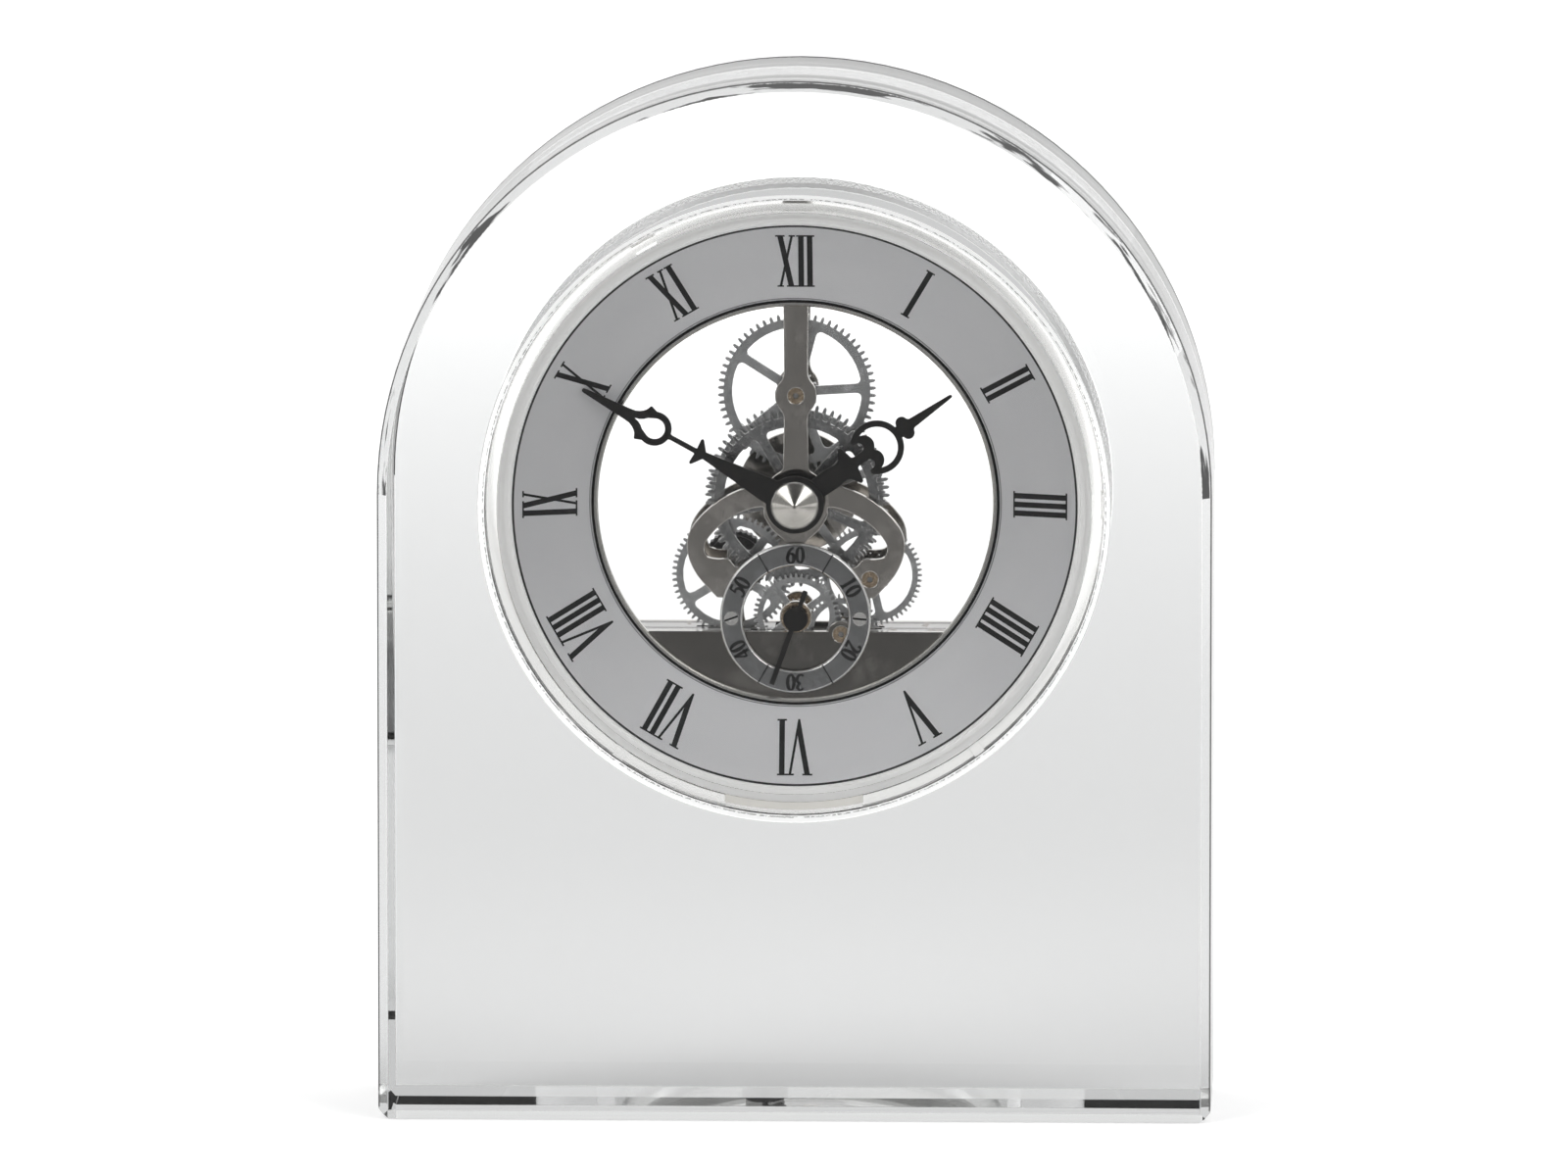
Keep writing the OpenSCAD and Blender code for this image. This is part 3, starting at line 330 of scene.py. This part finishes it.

# The ground parts, chips along the rim of the bore, and the inner arris of the chamfer. The inner arris is
# tinted pale as a painted highlight, but at the back of the arch it is painted as a dark reflection.
ground = out.step(mouth_r + 0.2, mouth_r) * (to_face < mouth_t)
wall = out.step(bore_r + 0.2, bore_r + 0.1)
chips = crystal.noise(crystal.vector(x, y, z), 1500.0, 3.0, 0.7)
ragged = (chips - 0.5) * 0.10
mouth = (out + 3.0 * ragged).band(bore_r + 0.15, bore_r + 0.35, 0.05)
mouth_chips = mouth * (depth < mouth_t) * chips.step(0.42, 0.54)
arris_ring = (inset + ragged).band(chamfer - inner_arris_t, chamfer + 0.06, 0.05)
inner_arris = (to_face < inner_arris_t) * arris_ring

# The outer arris is painted as a thin dark line, wider at the back, and dark patches are painted along the
# arch's front chamfer: painted reflections of dark things seen in the glass.
outer_reach = chamfer + 0.2 + far_arris_t * far_side * arch
arris_band = (to_face > chamfer - outer_arris_t) * (to_face < outer_reach)
outer_arris = arris_band * (inset < outer_arris_t) * over_foot
streak = crystal.noise(crystal.vector(x * 48.0, inset * 0.5, z * 48.0), 1.0, 3.0, 0.6).step(0.50, 0.55)
painted_dark_patch = streak * (depth < chamfer) * (inset + 4.0 * ragged).band(0.35, chamfer - 0.1, 0.08) * arch
painted_side_shade = inset.step(0.06, 0.02)
foot_chamfer = (inset > z / mm - 0.001) * (inset < chamfer) * (depth < chamfer)

# Painted dark reflections on the arrises and the arch's chamfer, with the dark chips at the bore's mouth.
dark = 0.9 * outer_arris + inner_arris * far_side * arch + 0.6 * mouth_chips + painted_dark_patch
# Tinted pale: the bore wall and the ground mouths, and as painted highlights the inner arris and the foot
# chamfer.
ground_and_painted_highlight = inner_arris * (1.0 - far_side * arch) + wall + ground + foot_chamfer
# The faces round the block's outline are tinted darker than the rest of the glass: painted shade.
body = crystal.mix(painted_side_shade, (0.70, 0.705, 0.705), (0.50, 0.505, 0.505))
rough = 0.36 * ground + 0.02 * wall * (1.0 - ground) + 0.12 * ground * chips + 0.3 * inner_arris
# The ground mouths glow faintly in white: a painted glow, since the crystal is no lamp.
crystal.set(Base_Color=crystal.mix(ground_and_painted_highlight.math("MINIMUM", 1.0), body, (0.97, 0.975, 0.965)), Roughness=rough,
            Emission_Color=crystal.mix(ground, (0.0, 0.0, 0.0), (1.0, 1.0, 0.99)),
            Normal=crystal.bump(chips * ground, 0.05 * mm))
# The painted dark lines and patches, and the chips at the mouth, are covered with a dull near black.
crystal.cover(dark.math("MINIMUM", 1.0), Base_Color=(0.09, 0.09, 0.09), Roughness=0.9, Specular_IOR_Level=0.1)
crystal.dress("crystal_block")

# Case tube, lens and rear cover
# Clear moulded acrylic: a tube that lines the bore, with a matt front rim and a finger notch, a flat lens
# that snaps into it, and a cover with a coin-slot hatch that closes the back.
tube_rim, notch_half, notch_top, notch_r = 2.3 * mm, 11.6 * mm, 80.0 * mm, 51.2
acrylic = Finish("tube_acrylic", dict(IOR=1.49, Transmission_Weight=0.92))
x, y, z = acrylic.place()
haze = acrylic.noise(acrylic.vector(x, y, z), 700.0, 3.0)
rim = y < front_y + tube_rim
notch = rim * (abs(x) < notch_half) * (z < notch_top) * (off_axis(x, z) < notch_r)
acrylic.set(Base_Color=acrylic.mix(notch, (1.0, 1.0, 0.985), (0.80, 0.77, 0.70)),
            Roughness=0.02 + 0.16 * rim + 0.03 * haze + 0.3 * notch)
acrylic.dress("case_tube")

for name, dull, nodes in (("lens_clear", 0.004, ("front_lens",)),
                          ("cover_clear", 0.006, ("rear_cover", "battery_hatch"))):
    clear = Finish(name, dict(Base_Color=(1.0, 1.0, 1.0), IOR=1.49, Transmission_Weight=1.0))
    dust = clear.noise(clear.vector(*clear.place()), 300.0, 4.0, 0.8)
    clear.set(Roughness=dull * dust)
    clear.dress(*nodes)

# Bezel
# A turned ring with a rounded lip, finished white and given a faint painted glow that stands in for the light
# of the crystal round it. It holds the dial's rim, a hair behind the lens, since faces in one plane render
# black. Its section is given by radius and by depth behind the block's front, in millimetres.
bezel_out, bezel_flat, bezel_in = 49.8, 49.0, 47.5
lens_back, seat_gap, bezel_back = 3.5, 0.06, 4.4
bezel_front = lens_back + seat_gap
profile = np.array([(bezel_out, bezel_front), (bezel_flat, bezel_front), (bezel_in + 0.5, 3.96),
                    (bezel_in + 0.35, 3.86), (bezel_in + 0.12, 3.9), (bezel_in, 4.05), (bezel_in, bezel_back),
                    (bezel_out, bezel_back), (bezel_out, bezel_front)])
turn = np.linspace(0, 2 * np.pi, 241)
round_r, back = mm * profile[:, :1], front_y + mm * profile[:, 1:] + 0 * turn
bezel = surface("bezel", [np.stack([round_r * np.sin(turn), back, axis_z + round_r * np.cos(turn)], -1)])

# The white's faint emission is a painted glow; the ring is no lamp.
glowing_white = Finish("white_plate_painted_glow", dict(Metallic=0.1, Emission_Color=(1.0, 1.0, 0.98), Emission_Strength=0.22))
x, y, z = glowing_white.place()
lines = glowing_white.noise(glowing_white.vector(off_axis(x, z) * 6.0, y / mm * 6.0, 0.0), 1.0, 2.0)
shade = 0.5 * lines + 0.5 * glowing_white.noise(glowing_white.vector(x, y, z), 120.0, 2.0)
glowing_white.set(Base_Color=glowing_white.ramp(shade, (0.3, (0.93, 0.93, 0.92)), (0.7, (0.98, 0.98, 0.97))),
           Roughness=0.24 + 0.14 * lines)
glowing_white.dress(bezel)
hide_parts("bezel_ring")
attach(bezel, "clock")

# Dial and collar
# A spun aluminium ring that slopes back to its opening, brushed in circles. It is painted darker towards its
# left and right, with a cloudy painted sheen round it, as painted shade and sheen for the two fans of light
# that circular brushing throws back. A dark line runs round its rim and a fainter one round its opening, and
# black Roman numerals are printed between, tops outwards. A polished collar of plated brass lines the
# opening, with a dark ring painted at its outer edge as the shadow of the gap to the dial.
dial_rim, dial_edge, rim_depth, drop = 47.5, 34.3, 4.4, 4.6
gap_shadow_in, gap_shadow_out = 33.85, 34.35
collar = Finish("collar_plate", dict(Metallic=1.0))
x, y, z = collar.place()
out = off_axis(x, z)
# A dark ring at the collar's outer edge: painted shadow of the gap to the dial.
painted_gap_shadow = out.band(gap_shadow_in, gap_shadow_out, 0.05)
lines = collar.noise(collar.vector(out * 8.0, y / mm * 8.0, 0.0), 1.0, 2.0)
polish = collar.mix(lines, (0.74, 0.73, 0.69), (0.86, 0.85, 0.82))
collar.set(Base_Color=collar.mix(painted_gap_shadow, polish, (0.012, 0.012, 0.012)),
           Roughness=0.12 + 0.08 * lines + 0.4 * painted_gap_shadow)
collar.dress("dial_collar")

rim_line, edge_line = (47.13, 47.42), (34.5, 34.62)
brushed = Finish("brushed_dial", dict())
x, z = brushed.place()[::2]
out = off_axis(x, z)
round_it = brushed.node("Math", {0: x, 1: z - axis_z}, operation="ARCTAN2")
strokes = brushed.noise(brushed.vector(out * 16.0, round_it * 1.6, 0.0), 1.0, 3.0, 0.7)
painted_sheen = brushed.noise(brushed.vector(out * 0.25, round_it * 2.0, 3.0), 1.0, 1.0)
# Painted shade and sheen: the dial darkens towards its left and right, and a cloudy sheen runs round it.
painted_fan_shade = 0.15 * (x / mm / out) ** 2.0
# Two dark lines, one round the rim and a fainter one round the opening.
dark_rim_band = out.band(*rim_line, 0.06)
dark_edge_band = out.band(*edge_line, 0.04)
metal = brushed.ramp(0.55 * strokes + 0.45 * painted_sheen, (0.3, (0.93, 0.933, 0.95)), (0.7, (0.985, 0.987, 1.0)))
metal = brushed.mix(painted_fan_shade, metal, (0.05, 0.05, 0.05))
brushed.set(Base_Color=brushed.mix(dark_rim_band + 0.7 * dark_edge_band, metal, (0.02, 0.02, 0.02)),
            Metallic=0.07 * (1.0 - dark_rim_band), Roughness=0.30 + 0.2 * strokes,
            Normal=brushed.bump(strokes, 0.004 * mm))
brushed.dress("dial_ring")

numeral_top, numeral_foot = 45.7, 36.6
thick, thin, serif, serif_reach, serif_gap, ink_lift = 0.93, 0.42, 0.27, 0.33, 0.05, 0.03


def on_dial(across, out_from_axis, hour):
    """Puts flat points on the sloping dial: across is to the right of a numeral whose top points outwards,
    and the depth is that of the cone at the point's own distance from the axis, less the ink's thickness."""
    angle = hour * np.pi / 6
    px = out_from_axis * np.sin(angle) + across * np.cos(angle)
    pz = out_from_axis * np.cos(angle) - across * np.sin(angle)
    fall = drop * np.clip(dial_rim - np.hypot(px, pz), 0, None) / (dial_rim - dial_edge)
    return np.stack([px * mm, front_y + (rim_depth + fall - ink_lift) * mm, axis_z + pz * mm], -1)


def bar(left, right, hour, top=numeral_top, foot=numeral_foot):
    """One stroke of a numeral, between two edges that run from its top to its foot. An edge is a function of
    the fraction of the way down."""
    s = np.linspace(0, 1, 25)
    t = np.linspace(0, 1, 3)[:, None]
    across = right(s) * (1 - t) + left(s) * t
    return on_dial(across, np.broadcast_to(top + (foot - top) * s, across.shape), hour)


def slant(a, b, width):
    """The two edges of a stroke whose middle runs straight from a at the top to b at the foot."""
    return (lambda s: a + (b - a) * s - width / 2), (lambda s: a + (b - a) * s + width / 2)


def joined(stems):
    """Serifs for stems that are given as middles and widths, with those that meet made one."""
    spans = []
    for middle, width in sorted(stems):
        a, b = middle - width / 2 - serif_reach, middle + width / 2 + serif_reach
        if spans and a < spans[-1][1] + serif_gap:
            spans[-1][1] = b
        else:
            spans.append([a, b])
    return spans


# How far a letter's middle stands from that of the letter before it, the half widths of X and V, and how
# much wider the serifs are on the slanting tops of V
step_to = {"I": {"": 0.0, "I": 1.47, "X": 2.5, "V": 2.82}, "X": {"": 0.0, "I": 2.26, "X": 3.3},
           "V": {"": 0.0, "I": 2.8}}
x_top, x_thick_foot, x_thin_foot = 1.0, 0.87, 0.95
v_top, v_thick_foot, v_thin_foot, v_thick_more, v_thin_more = 1.49, 0.28, 0.07, 0.1, 0.35


def numeral(word, hour):
    """The strokes and serifs of one numeral, with the letters side by side and the whole word centred."""
    at, strokes, tops, feet, last = 0.0, [], [], [], ""
    for letter in word:
        at += step_to[letter][last]
        if letter == "I":
            strokes.append(slant(at, at, thick))
            tops.append((at, thick))
            feet.append((at, thick))
        if letter == "X":
            strokes.append(slant(at - x_top, at + x_thick_foot, thick))
            strokes.append(slant(at + x_top, at - x_thin_foot, thin))
            tops += [(at - x_top, thick), (at + x_top, thin)]
            feet += [(at - x_thin_foot, thin), (at + x_thick_foot, thick)]
        if letter == "V":
            left, right = slant(at - v_top, at + v_thick_foot, thick)
            thin_left, thin_right = slant(at + v_top, at - v_thin_foot, thin)
            strokes.append((left, lambda s, a=right, b=thin_right: np.minimum(a(s), b(s))))
            strokes.append((lambda s, a=thin_left, b=right, c=thin_right:
                            np.minimum(np.maximum(a(s), b(s)), c(s)), thin_right))
            tops += [(at - v_top, thick + v_thick_more), (at + v_top, thin + v_thin_more)]
        last = letter
    spans = joined(tops + feet)
    shift = -(min(a for a, b in spans) + max(b for a, b in spans)) / 2
    sheets = [bar(lambda s, f=a: f(s) + shift, lambda s, f=b: f(s) + shift, hour) for a, b in strokes]
    for spans, top, foot in ((joined(tops), numeral_top, numeral_top - serif),
                             (joined(feet), numeral_foot + serif, numeral_foot)):
        sheets += [bar(lambda s, e=a: e + shift + 0 * s, lambda s, e=b: e + shift + 0 * s, hour, top, foot)
                   for a, b in spans]
    return sheets


words = ["I", "II", "III", "IIII", "V", "VI", "VII", "VIII", "IX", "X", "XI", "XII"]
ink = Finish("numeral_ink", dict(Specular_IOR_Level=0.4))
ink.grained((0.004, 0.004, 0.005), (0.012, 0.012, 0.012), 0.45, 0.3, scale=2500.0, detail=2.0, high=0.8)
numerals = surface("numerals", [s for hour, word in enumerate(words, 1) for s in numeral(word, hour)])
ink.dress(numerals)
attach(numerals, "clock")

# Plates and pillars
# Two brass plates cut to an openwork outline, nickelled dark and satin on their faces, with a paler ring
# turned round the hub. Their broken edges and sawn sides are painted bright as a highlight, and the part over
# the motor cover is painted darker as shade. Four pillars hold the plates apart.
shade_top, shade_foot, hub_in, hub_out = 84.0 * mm, 82.5 * mm, 5.0, 5.5
gunmetal = Finish("plate_nickel", dict(Metallic=1.0))
x, y, z = gunmetal.place()
normal, edge = gunmetal.edges(0.24 * mm)
face = abs(gunmetal.place("Normal")[1]).step(0.8, 0.95) * (1.0 - edge)
grainy = gunmetal.noise(gunmetal.vector(x * 9000.0, y * 4000.0, z * 900.0), 1.0, 3.0)
cloud = gunmetal.noise(gunmetal.vector(x, y, z), 130.0, 3.0, 0.6)
smudge = cloud.step(0.52, 0.72)
hub_ring = off_axis(x, z).band(hub_in, hub_out, 0.08)
tone = gunmetal.ramp(0.6 * grainy + 0.4 * cloud, (0.3, (0.54, 0.515, 0.48)), (0.7, (0.70, 0.665, 0.625)))
# Painted shade: the plates are toned darker below the top of the motor cover.
tone = gunmetal.mix(0.62 * z.step(shade_top, shade_foot), tone, (0.12, 0.115, 0.105))
tone = gunmetal.mix(0.6 * hub_ring, tone, (0.95, 0.90, 0.84))
# All but the faces, that is the broken edges and sawn sides, is painted a bright nickel as a highlight.
gunmetal.set(Base_Color=gunmetal.mix(face, (0.93, 0.91, 0.87), tone),
             Roughness=0.07 + 0.05 * grainy + 0.16 * smudge * face, Normal=normal)
gunmetal.dress("front_plate", "rear_plate")

pillar = Finish("pillar_nickel", dict(Metallic=1.0))
pillar.grained((0.5, 0.49, 0.46), (0.66, 0.65, 0.62), 0.15, 0.15, stretch=(500.0, 9000.0, 500.0), detail=2.0)
pillar.dress("plate_pillars", "ring_spacers")

# Motor cover
# A curved wall of plated sheet between the plates, dark and mirror bright, which hides the motor and the
# cell.
# Its flat top is painted with bands that run from bright to dark and bright again towards the back, and with
# brown patches: painted reflections.
sheet = Finish("box_sheet", dict(Metallic=1.0))
x, y, z = sheet.place()
depth = (y - front_y) / mm
cloud = sheet.noise(sheet.vector(x * 30.0, y * 400.0, z * 90.0), 1.0, 2.0)
# Painted reflections: bands across the flat top, bright, dark and bright again towards the back, and brown
# patches.
painted_brown_patches = sheet.noise(sheet.vector(x * 260.0, y * 90.0, 0.0), 1.0, 2.0).step(0.56, 0.62)
painted_reflection_bands = sheet.ramp(depth / block_t, (0.34, (0.95, 0.94, 0.92)), (0.36, (0.10, 0.09, 0.08)),
                   (0.385, (0.10, 0.09, 0.08)), (0.40, (0.95, 0.94, 0.92)), (0.505, (0.95, 0.94, 0.92)),
                   (0.52, (0.05, 0.035, 0.02)))
top = abs(sheet.place("Normal")[2]).step(0.8, 0.95)
wall_tone = sheet.ramp(cloud, (0.3, (0.10, 0.095, 0.08)), (0.7, (0.17, 0.165, 0.14)))
sheet.set(Base_Color=sheet.mix(top, wall_tone, sheet.mix(painted_brown_patches, painted_reflection_bands, (0.30, 0.22, 0.15))),
          Metallic=1.0 - 0.7 * top, Roughness=0.10 + 0.08 * cloud)
sheet.dress("movement_box")

# Wheels, arbors and screws
# Brass wheels, nickelled and slightly mottled by the plating, turned steel arbors and pinions, and slotted
# nickelled screws. The hour wheel is plated darker than the others. The broken edges of wheels and screws are
# painted bright as a highlight, and the floors of the screw slots are painted near black as shade.
nickel = Finish("wheel_nickel", dict(Metallic=1.0))
x, y, z = nickel.place()
normal, edge = nickel.edges(0.11 * mm)
mottle = nickel.noise(nickel.vector(x, y, z), 900.0, 4.0, 0.6)
cloud = nickel.noise(nickel.vector(x, y, z), 170.0, 3.0, 0.6)
tone = nickel.ramp(0.35 * mottle + 0.65 * cloud, (0.40, (0.62, 0.63, 0.635)), (0.56, (0.74, 0.75, 0.75)),
                   (0.64, (0.88, 0.89, 0.89)))
# The broken edges are painted bright as a highlight.
nickel.set(Base_Color=nickel.mix(edge, tone, (0.95, 0.95, 0.94)), Roughness=0.20 + 0.10 * mottle,
           Normal=normal)
nickel.dress("centre_wheel", "motion_wheel", "third_wheel", "fourth_wheel", "seconds_wheel", "setting_wheel")

dark_wheel = Finish("hour_wheel_nickel", dict(Metallic=1.0))
normal, edge = dark_wheel.edges(0.14 * mm)
mottle = dark_wheel.noise(dark_wheel.vector(*dark_wheel.place()), 900.0, 4.0, 0.6)
tone = dark_wheel.ramp(mottle, (0.32, (0.36, 0.365, 0.37)), (0.68, (0.50, 0.50, 0.50)))
# The broken edges are painted bright as a highlight.
dark_wheel.set(Base_Color=dark_wheel.mix(edge, tone, (0.95, 0.95, 0.94)), Roughness=0.14 + 0.2 * mottle,
               Normal=normal)
dark_wheel.dress("hour_wheel")

steel = Finish("arbor_steel", dict(Metallic=1.0))
steel.grained((0.42, 0.42, 0.41), (0.62, 0.61, 0.6), 0.14, 0.16, stretch=(800.0, 12000.0, 800.0), detail=2.0)
steel.dress("minute_arbor", "cannon_pinion", "hour_pipe", "motion_arbor", "third_arbor", "fourth_arbor",
            "reversing_idler", "seconds_arbor", "setting_arbor")

slot_front, slot_back = 8.95 * mm, 9.7 * mm
screw = Finish("screw_nickel", dict(Metallic=0.45))
x, y, z = screw.place()
normal, edge = screw.edges(0.10 * mm)
# Painted shade: the slot floors are near black. The broken edges are painted bright as a highlight.
painted_slot_shade = (y > front_y + slot_front) * (y < front_y + slot_back)
turned = screw.noise(screw.vector(x, y, z), 2600.0, 3.0)
tone = screw.ramp(turned, (0.3, (0.66, 0.65, 0.63)), (0.7, (0.84, 0.83, 0.81)))
tone = screw.mix(edge, tone, (0.95, 0.94, 0.92))
screw.set(Base_Color=screw.mix(painted_slot_shade, tone, (0.03, 0.03, 0.03)), Roughness=0.18 + 0.14 * turned,
          Normal=normal)
screw.dress("rear_screws", "ring_screws")

# Bushings
# Small turned brass bushings pressed into the plates, each with a dished mouth round its pivot.
brass = Finish("bushing_brass", dict(Metallic=1.0))
brass.grained((0.50, 0.38, 0.26), (0.74, 0.60, 0.44), 0.2, 0.12, scale=1800.0)
brass.dress("front_bushings", "rear_bushings")

# Hands and cap nut
# Stamped steel hands, blacked and faintly glossy, and a knurled nickel cap nut that holds them. The nut's
# broken edges are painted bright as a highlight.
black = Finish("hand_black", dict(Specular_IOR_Level=0.35, Coat_Weight=0.1, Coat_Roughness=0.2))
skin = black.grained((0.004, 0.004, 0.004), (0.013, 0.011, 0.010), 0.30, 0.2, scale=1600.0, high=0.75)
black.set(Normal=black.bump(skin, 0.006 * mm))
black.dress("minute_hand", "hour_hand", "seconds_hand")

nut = Finish("cap_nut_nickel", dict(Metallic=1.0))
x, y, z = nut.place()
normal, edge = nut.edges(0.10 * mm)
lines = nut.noise(nut.vector(off_axis(x, z) * 9.0, y / mm * 9.0, 0.0), 1.0, 2.0)
tone = nut.ramp(lines, (0.3, (0.46, 0.445, 0.41)), (0.7, (0.60, 0.585, 0.55)))
# The broken edges are painted bright as a highlight.
nut.set(Base_Color=nut.mix(edge, tone, (0.9, 0.89, 0.86)), Roughness=0.07 + 0.09 * lines, Normal=normal)
nut.dress("cap_nut")

# Seconds ring
# A satin nickelled ring on two screws, with figures and four fine lines printed black. Its broken edges and
# sides are painted bright as a highlight.
seconds_z = axis_z - 19.7 * mm
ring_face, print_lift = 9.0, 0.02
satin = Finish("seconds_satin", dict(Metallic=1.0))
x, y, z = satin.place()
round_it = satin.node("Math", {0: x, 1: z - seconds_z}, operation="ARCTAN2")
strokes = satin.noise(satin.vector(off_axis(x, z, seconds_z) * 14.0, round_it * 2.0, 0.0), 1.0, 3.0, 0.7)
normal, edge = satin.edges(0.22 * mm)
cloud = satin.noise(satin.vector(x, y, z), 330.0, 3.0, 0.65).step(0.52, 0.60)
face = abs(satin.place("Normal")[1]).step(0.8, 0.95) * (1.0 - edge)
tone = satin.ramp(strokes, (0.3, (0.41, 0.415, 0.42)), (0.7, (0.47, 0.475, 0.48)))
tone = satin.mix(0.3 * cloud, tone, (0.62, 0.63, 0.64))
# All but the faces, that is the broken edges and sides, is painted near white as a highlight.
satin.set(Base_Color=satin.mix(face, (0.93, 0.93, 0.92), tone), Roughness=0.17 + 0.06 * strokes,
          Normal=normal)
satin.dress("seconds_ring")


def stroke(points, widths, place, turn_by, grow=1.0):
    """A ribbon of varying width along a smooth curve through the points, each span a cubic whose slope at a
    point is half the step between its neighbours. It is enlarged, moved out from the seconds axis to its
    place, turned clockwise by an angle and laid on the ring's face."""
    p = np.column_stack([np.array(points, float), np.array(widths, float)])
    p = np.vstack([2 * p[0] - p[1], p, 2 * p[-1] - p[-2]])
    t = np.linspace(0, 1, 9)[:-1, None, None]
    a, b, c, d = p[:-3], p[1:-2], p[2:-1], p[3:]
    square, cube = 2 * a - 5 * b + 4 * c - d, 3 * b - a - 3 * c + d
    run = 0.5 * (2 * b + (c - a) * t + square * t ** 2 + cube * t ** 3)
    run = np.vstack([run.transpose(1, 0, 2).reshape(-1, 3), p[-2:-1]])
    ahead = np.gradient(run[:, :2], axis=0)
    ahead /= np.linalg.norm(ahead, axis=1, keepdims=True) + 1e-9
    beside = np.column_stack([-ahead[:, 1], ahead[:, 0]]) * run[:, 2:] / 2
    flat = np.stack([run[:, :2] + beside, run[:, :2] - beside], 0)
    u, v = flat[..., 0] * grow + place[0], flat[..., 1] * grow + place[1]
    px = v * np.sin(turn_by) + u * np.cos(turn_by)
    pz = v * np.cos(turn_by) - u * np.sin(turn_by)
    return np.stack([px * mm, 0 * px + front_y + (ring_face - print_lift) * mm, seconds_z + pz * mm], -1)


# Each figure, 2.5 mm tall, is a list of strokes: the points of a curve, and the width at each.
round_angles = np.linspace(0, 2 * np.pi, 13)
circle = [(0.5 * math.sin(a), 1.2 * math.cos(a)) for a in round_angles]
loop = [(0.5 * math.sin(a), -0.48 + 0.74 * math.cos(a)) for a in round_angles]
swell = [0.12 + 0.22 * abs(math.sin(a)) for a in round_angles]
figures = {
    "0": [(circle, swell)],
    "1": [([(0.0, 1.25), (0.0, 0.0), (0.0, -1.25)], [0.3] * 3),
          ([(-0.42, 0.92), (-0.2, 1.05), (0.05, 1.2)], [0.1, 0.12, 0.12]),
          ([(-0.42, -1.24), (0.0, -1.24), (0.42, -1.24)], [0.1] * 3)],
    "2": [([(-0.5, 0.62), (-0.38, 1.02), (0.02, 1.22), (0.42, 0.92), (0.42, 0.42), (0.05, -0.35),
            (-0.5, -1.12)], [0.22, 0.16, 0.14, 0.28, 0.32, 0.2, 0.12]),
          ([(-0.55, -1.13), (0.0, -1.13), (0.55, -1.1)], [0.22, 0.24, 0.24])],
    "3": [([(-0.45, 0.85), (-0.2, 1.18), (0.15, 1.18), (0.4, 0.78), (0.2, 0.32), (-0.12, 0.18)],
           [0.18, 0.14, 0.16, 0.3, 0.2, 0.12]),
          ([(-0.12, 0.18), (0.3, 0.02), (0.48, -0.48), (0.2, -1.05), (-0.2, -1.2), (-0.5, -0.95)],
           [0.12, 0.22, 0.34, 0.2, 0.14, 0.22])],
    "4": [([(0.22, 1.25), (0.22, 0.0), (0.22, -1.25)], [0.28] * 3),
          ([(0.2, 1.2), (-0.2, 0.4), (-0.6, -0.5)], [0.12] * 3),
          ([(-0.62, -0.52), (0.0, -0.52), (0.62, -0.52)], [0.16] * 3)],
    "5": [([(-0.3, 1.14), (0.1, 1.14), (0.48, 1.18)], [0.22] * 3),
          ([(-0.3, 1.15), (-0.36, 0.6), (-0.42, 0.12)], [0.12] * 3),
          ([(-0.42, 0.12), (0.0, 0.34), (0.42, 0.0), (0.46, -0.58), (0.12, -1.1), (-0.28, -1.2),
            (-0.52, -0.98)], [0.12, 0.18, 0.3, 0.32, 0.2, 0.14, 0.22])],
    "6": [(loop, swell), ([(0.42, 1.2), (0.0, 0.86), (-0.36, 0.3), (-0.48, -0.45)], [0.12, 0.2, 0.28, 0.3])],
}
figure_out, digit_half, figure_grow = 10.8, 0.78, 1.08
width_grow, width_more = 1.2, 0.13
line_in, line_out, line_w = 9.0, 12.6, 0.24
prints = []
for place, word in enumerate(("60", "10", "20", "30", "40", "50")):
    for digit, across in zip(word, (-digit_half, digit_half)):
        for points, widths in figures[digit]:
            inked = np.array(widths) * width_grow + width_more
            prints.append(stroke(points, inked, (across, figure_out), place * np.pi / 3, figure_grow))
for second in (5, 25, 35, 55):
    line = [(0, line_in), (0, (line_in + line_out) / 2), (0, line_out)]
    prints.append(stroke(line, [line_w] * 3, (0, 0), second * np.pi / 30))
seconds_figures = surface("seconds_figures", prints)
ink.dress(seconds_figures)
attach(seconds_figures, "clock")

# The back: knob, cell and motor
# Behind the rear plate: a black ribbed knob, a steel button cell in a moulded cup with its spring leaf, and
# the stepping motor with its copper coil, soft-iron stator, board and quartz crystal.
knob = Finish("knob_plastic", dict(Specular_IOR_Level=0.5))
skin = knob.grained((0.014, 0.014, 0.015), (0.03, 0.03, 0.031), 0.35, 0.2, scale=2200.0, high=0.75)
knob.set(Normal=knob.bump(skin, 0.01 * mm))
knob.dress("setting_knob", "cell_holder")

moulded = Finish("motor_plastic", dict(Specular_IOR_Level=0.5))
moulded.grained((0.62, 0.61, 0.57), (0.70, 0.69, 0.65), 0.4, 0.2, scale=1500.0, high=0.75)
moulded.dress("motor_base", "step_wheel", "rotor")

can = Finish("cell_steel", dict(Metallic=1.0))
can.grained((0.52, 0.52, 0.52), (0.68, 0.68, 0.68), 0.2, 0.15, stretch=(2500.0, 600.0, 2500.0))
can.dress("button_cell", "quartz_can", "stator", "cell_contact")

copper = Finish("coil_copper", dict(Metallic=1.0))
wire = copper.node("TexWave", {"Vector": copper.vector(*copper.place()), "Scale": 3200.0, "Distortion": 0.4},
                   wave_type="BANDS", bands_direction="X")
copper.set(Base_Color=copper.mix(wire, (0.28, 0.10, 0.04), (0.72, 0.34, 0.17)), Roughness=0.25 + 0.2 * wire,
           Normal=copper.bump(wire, 0.02 * mm))
copper.dress("coil")

green_board = Finish("board_green", dict(Specular_IOR_Level=0.5))
green_board.grained((0.02, 0.09, 0.04), (0.03, 0.14, 0.06), 0.3, 0.2, scale=1200.0, detail=2.0)
green_board.dress("circuit_board")
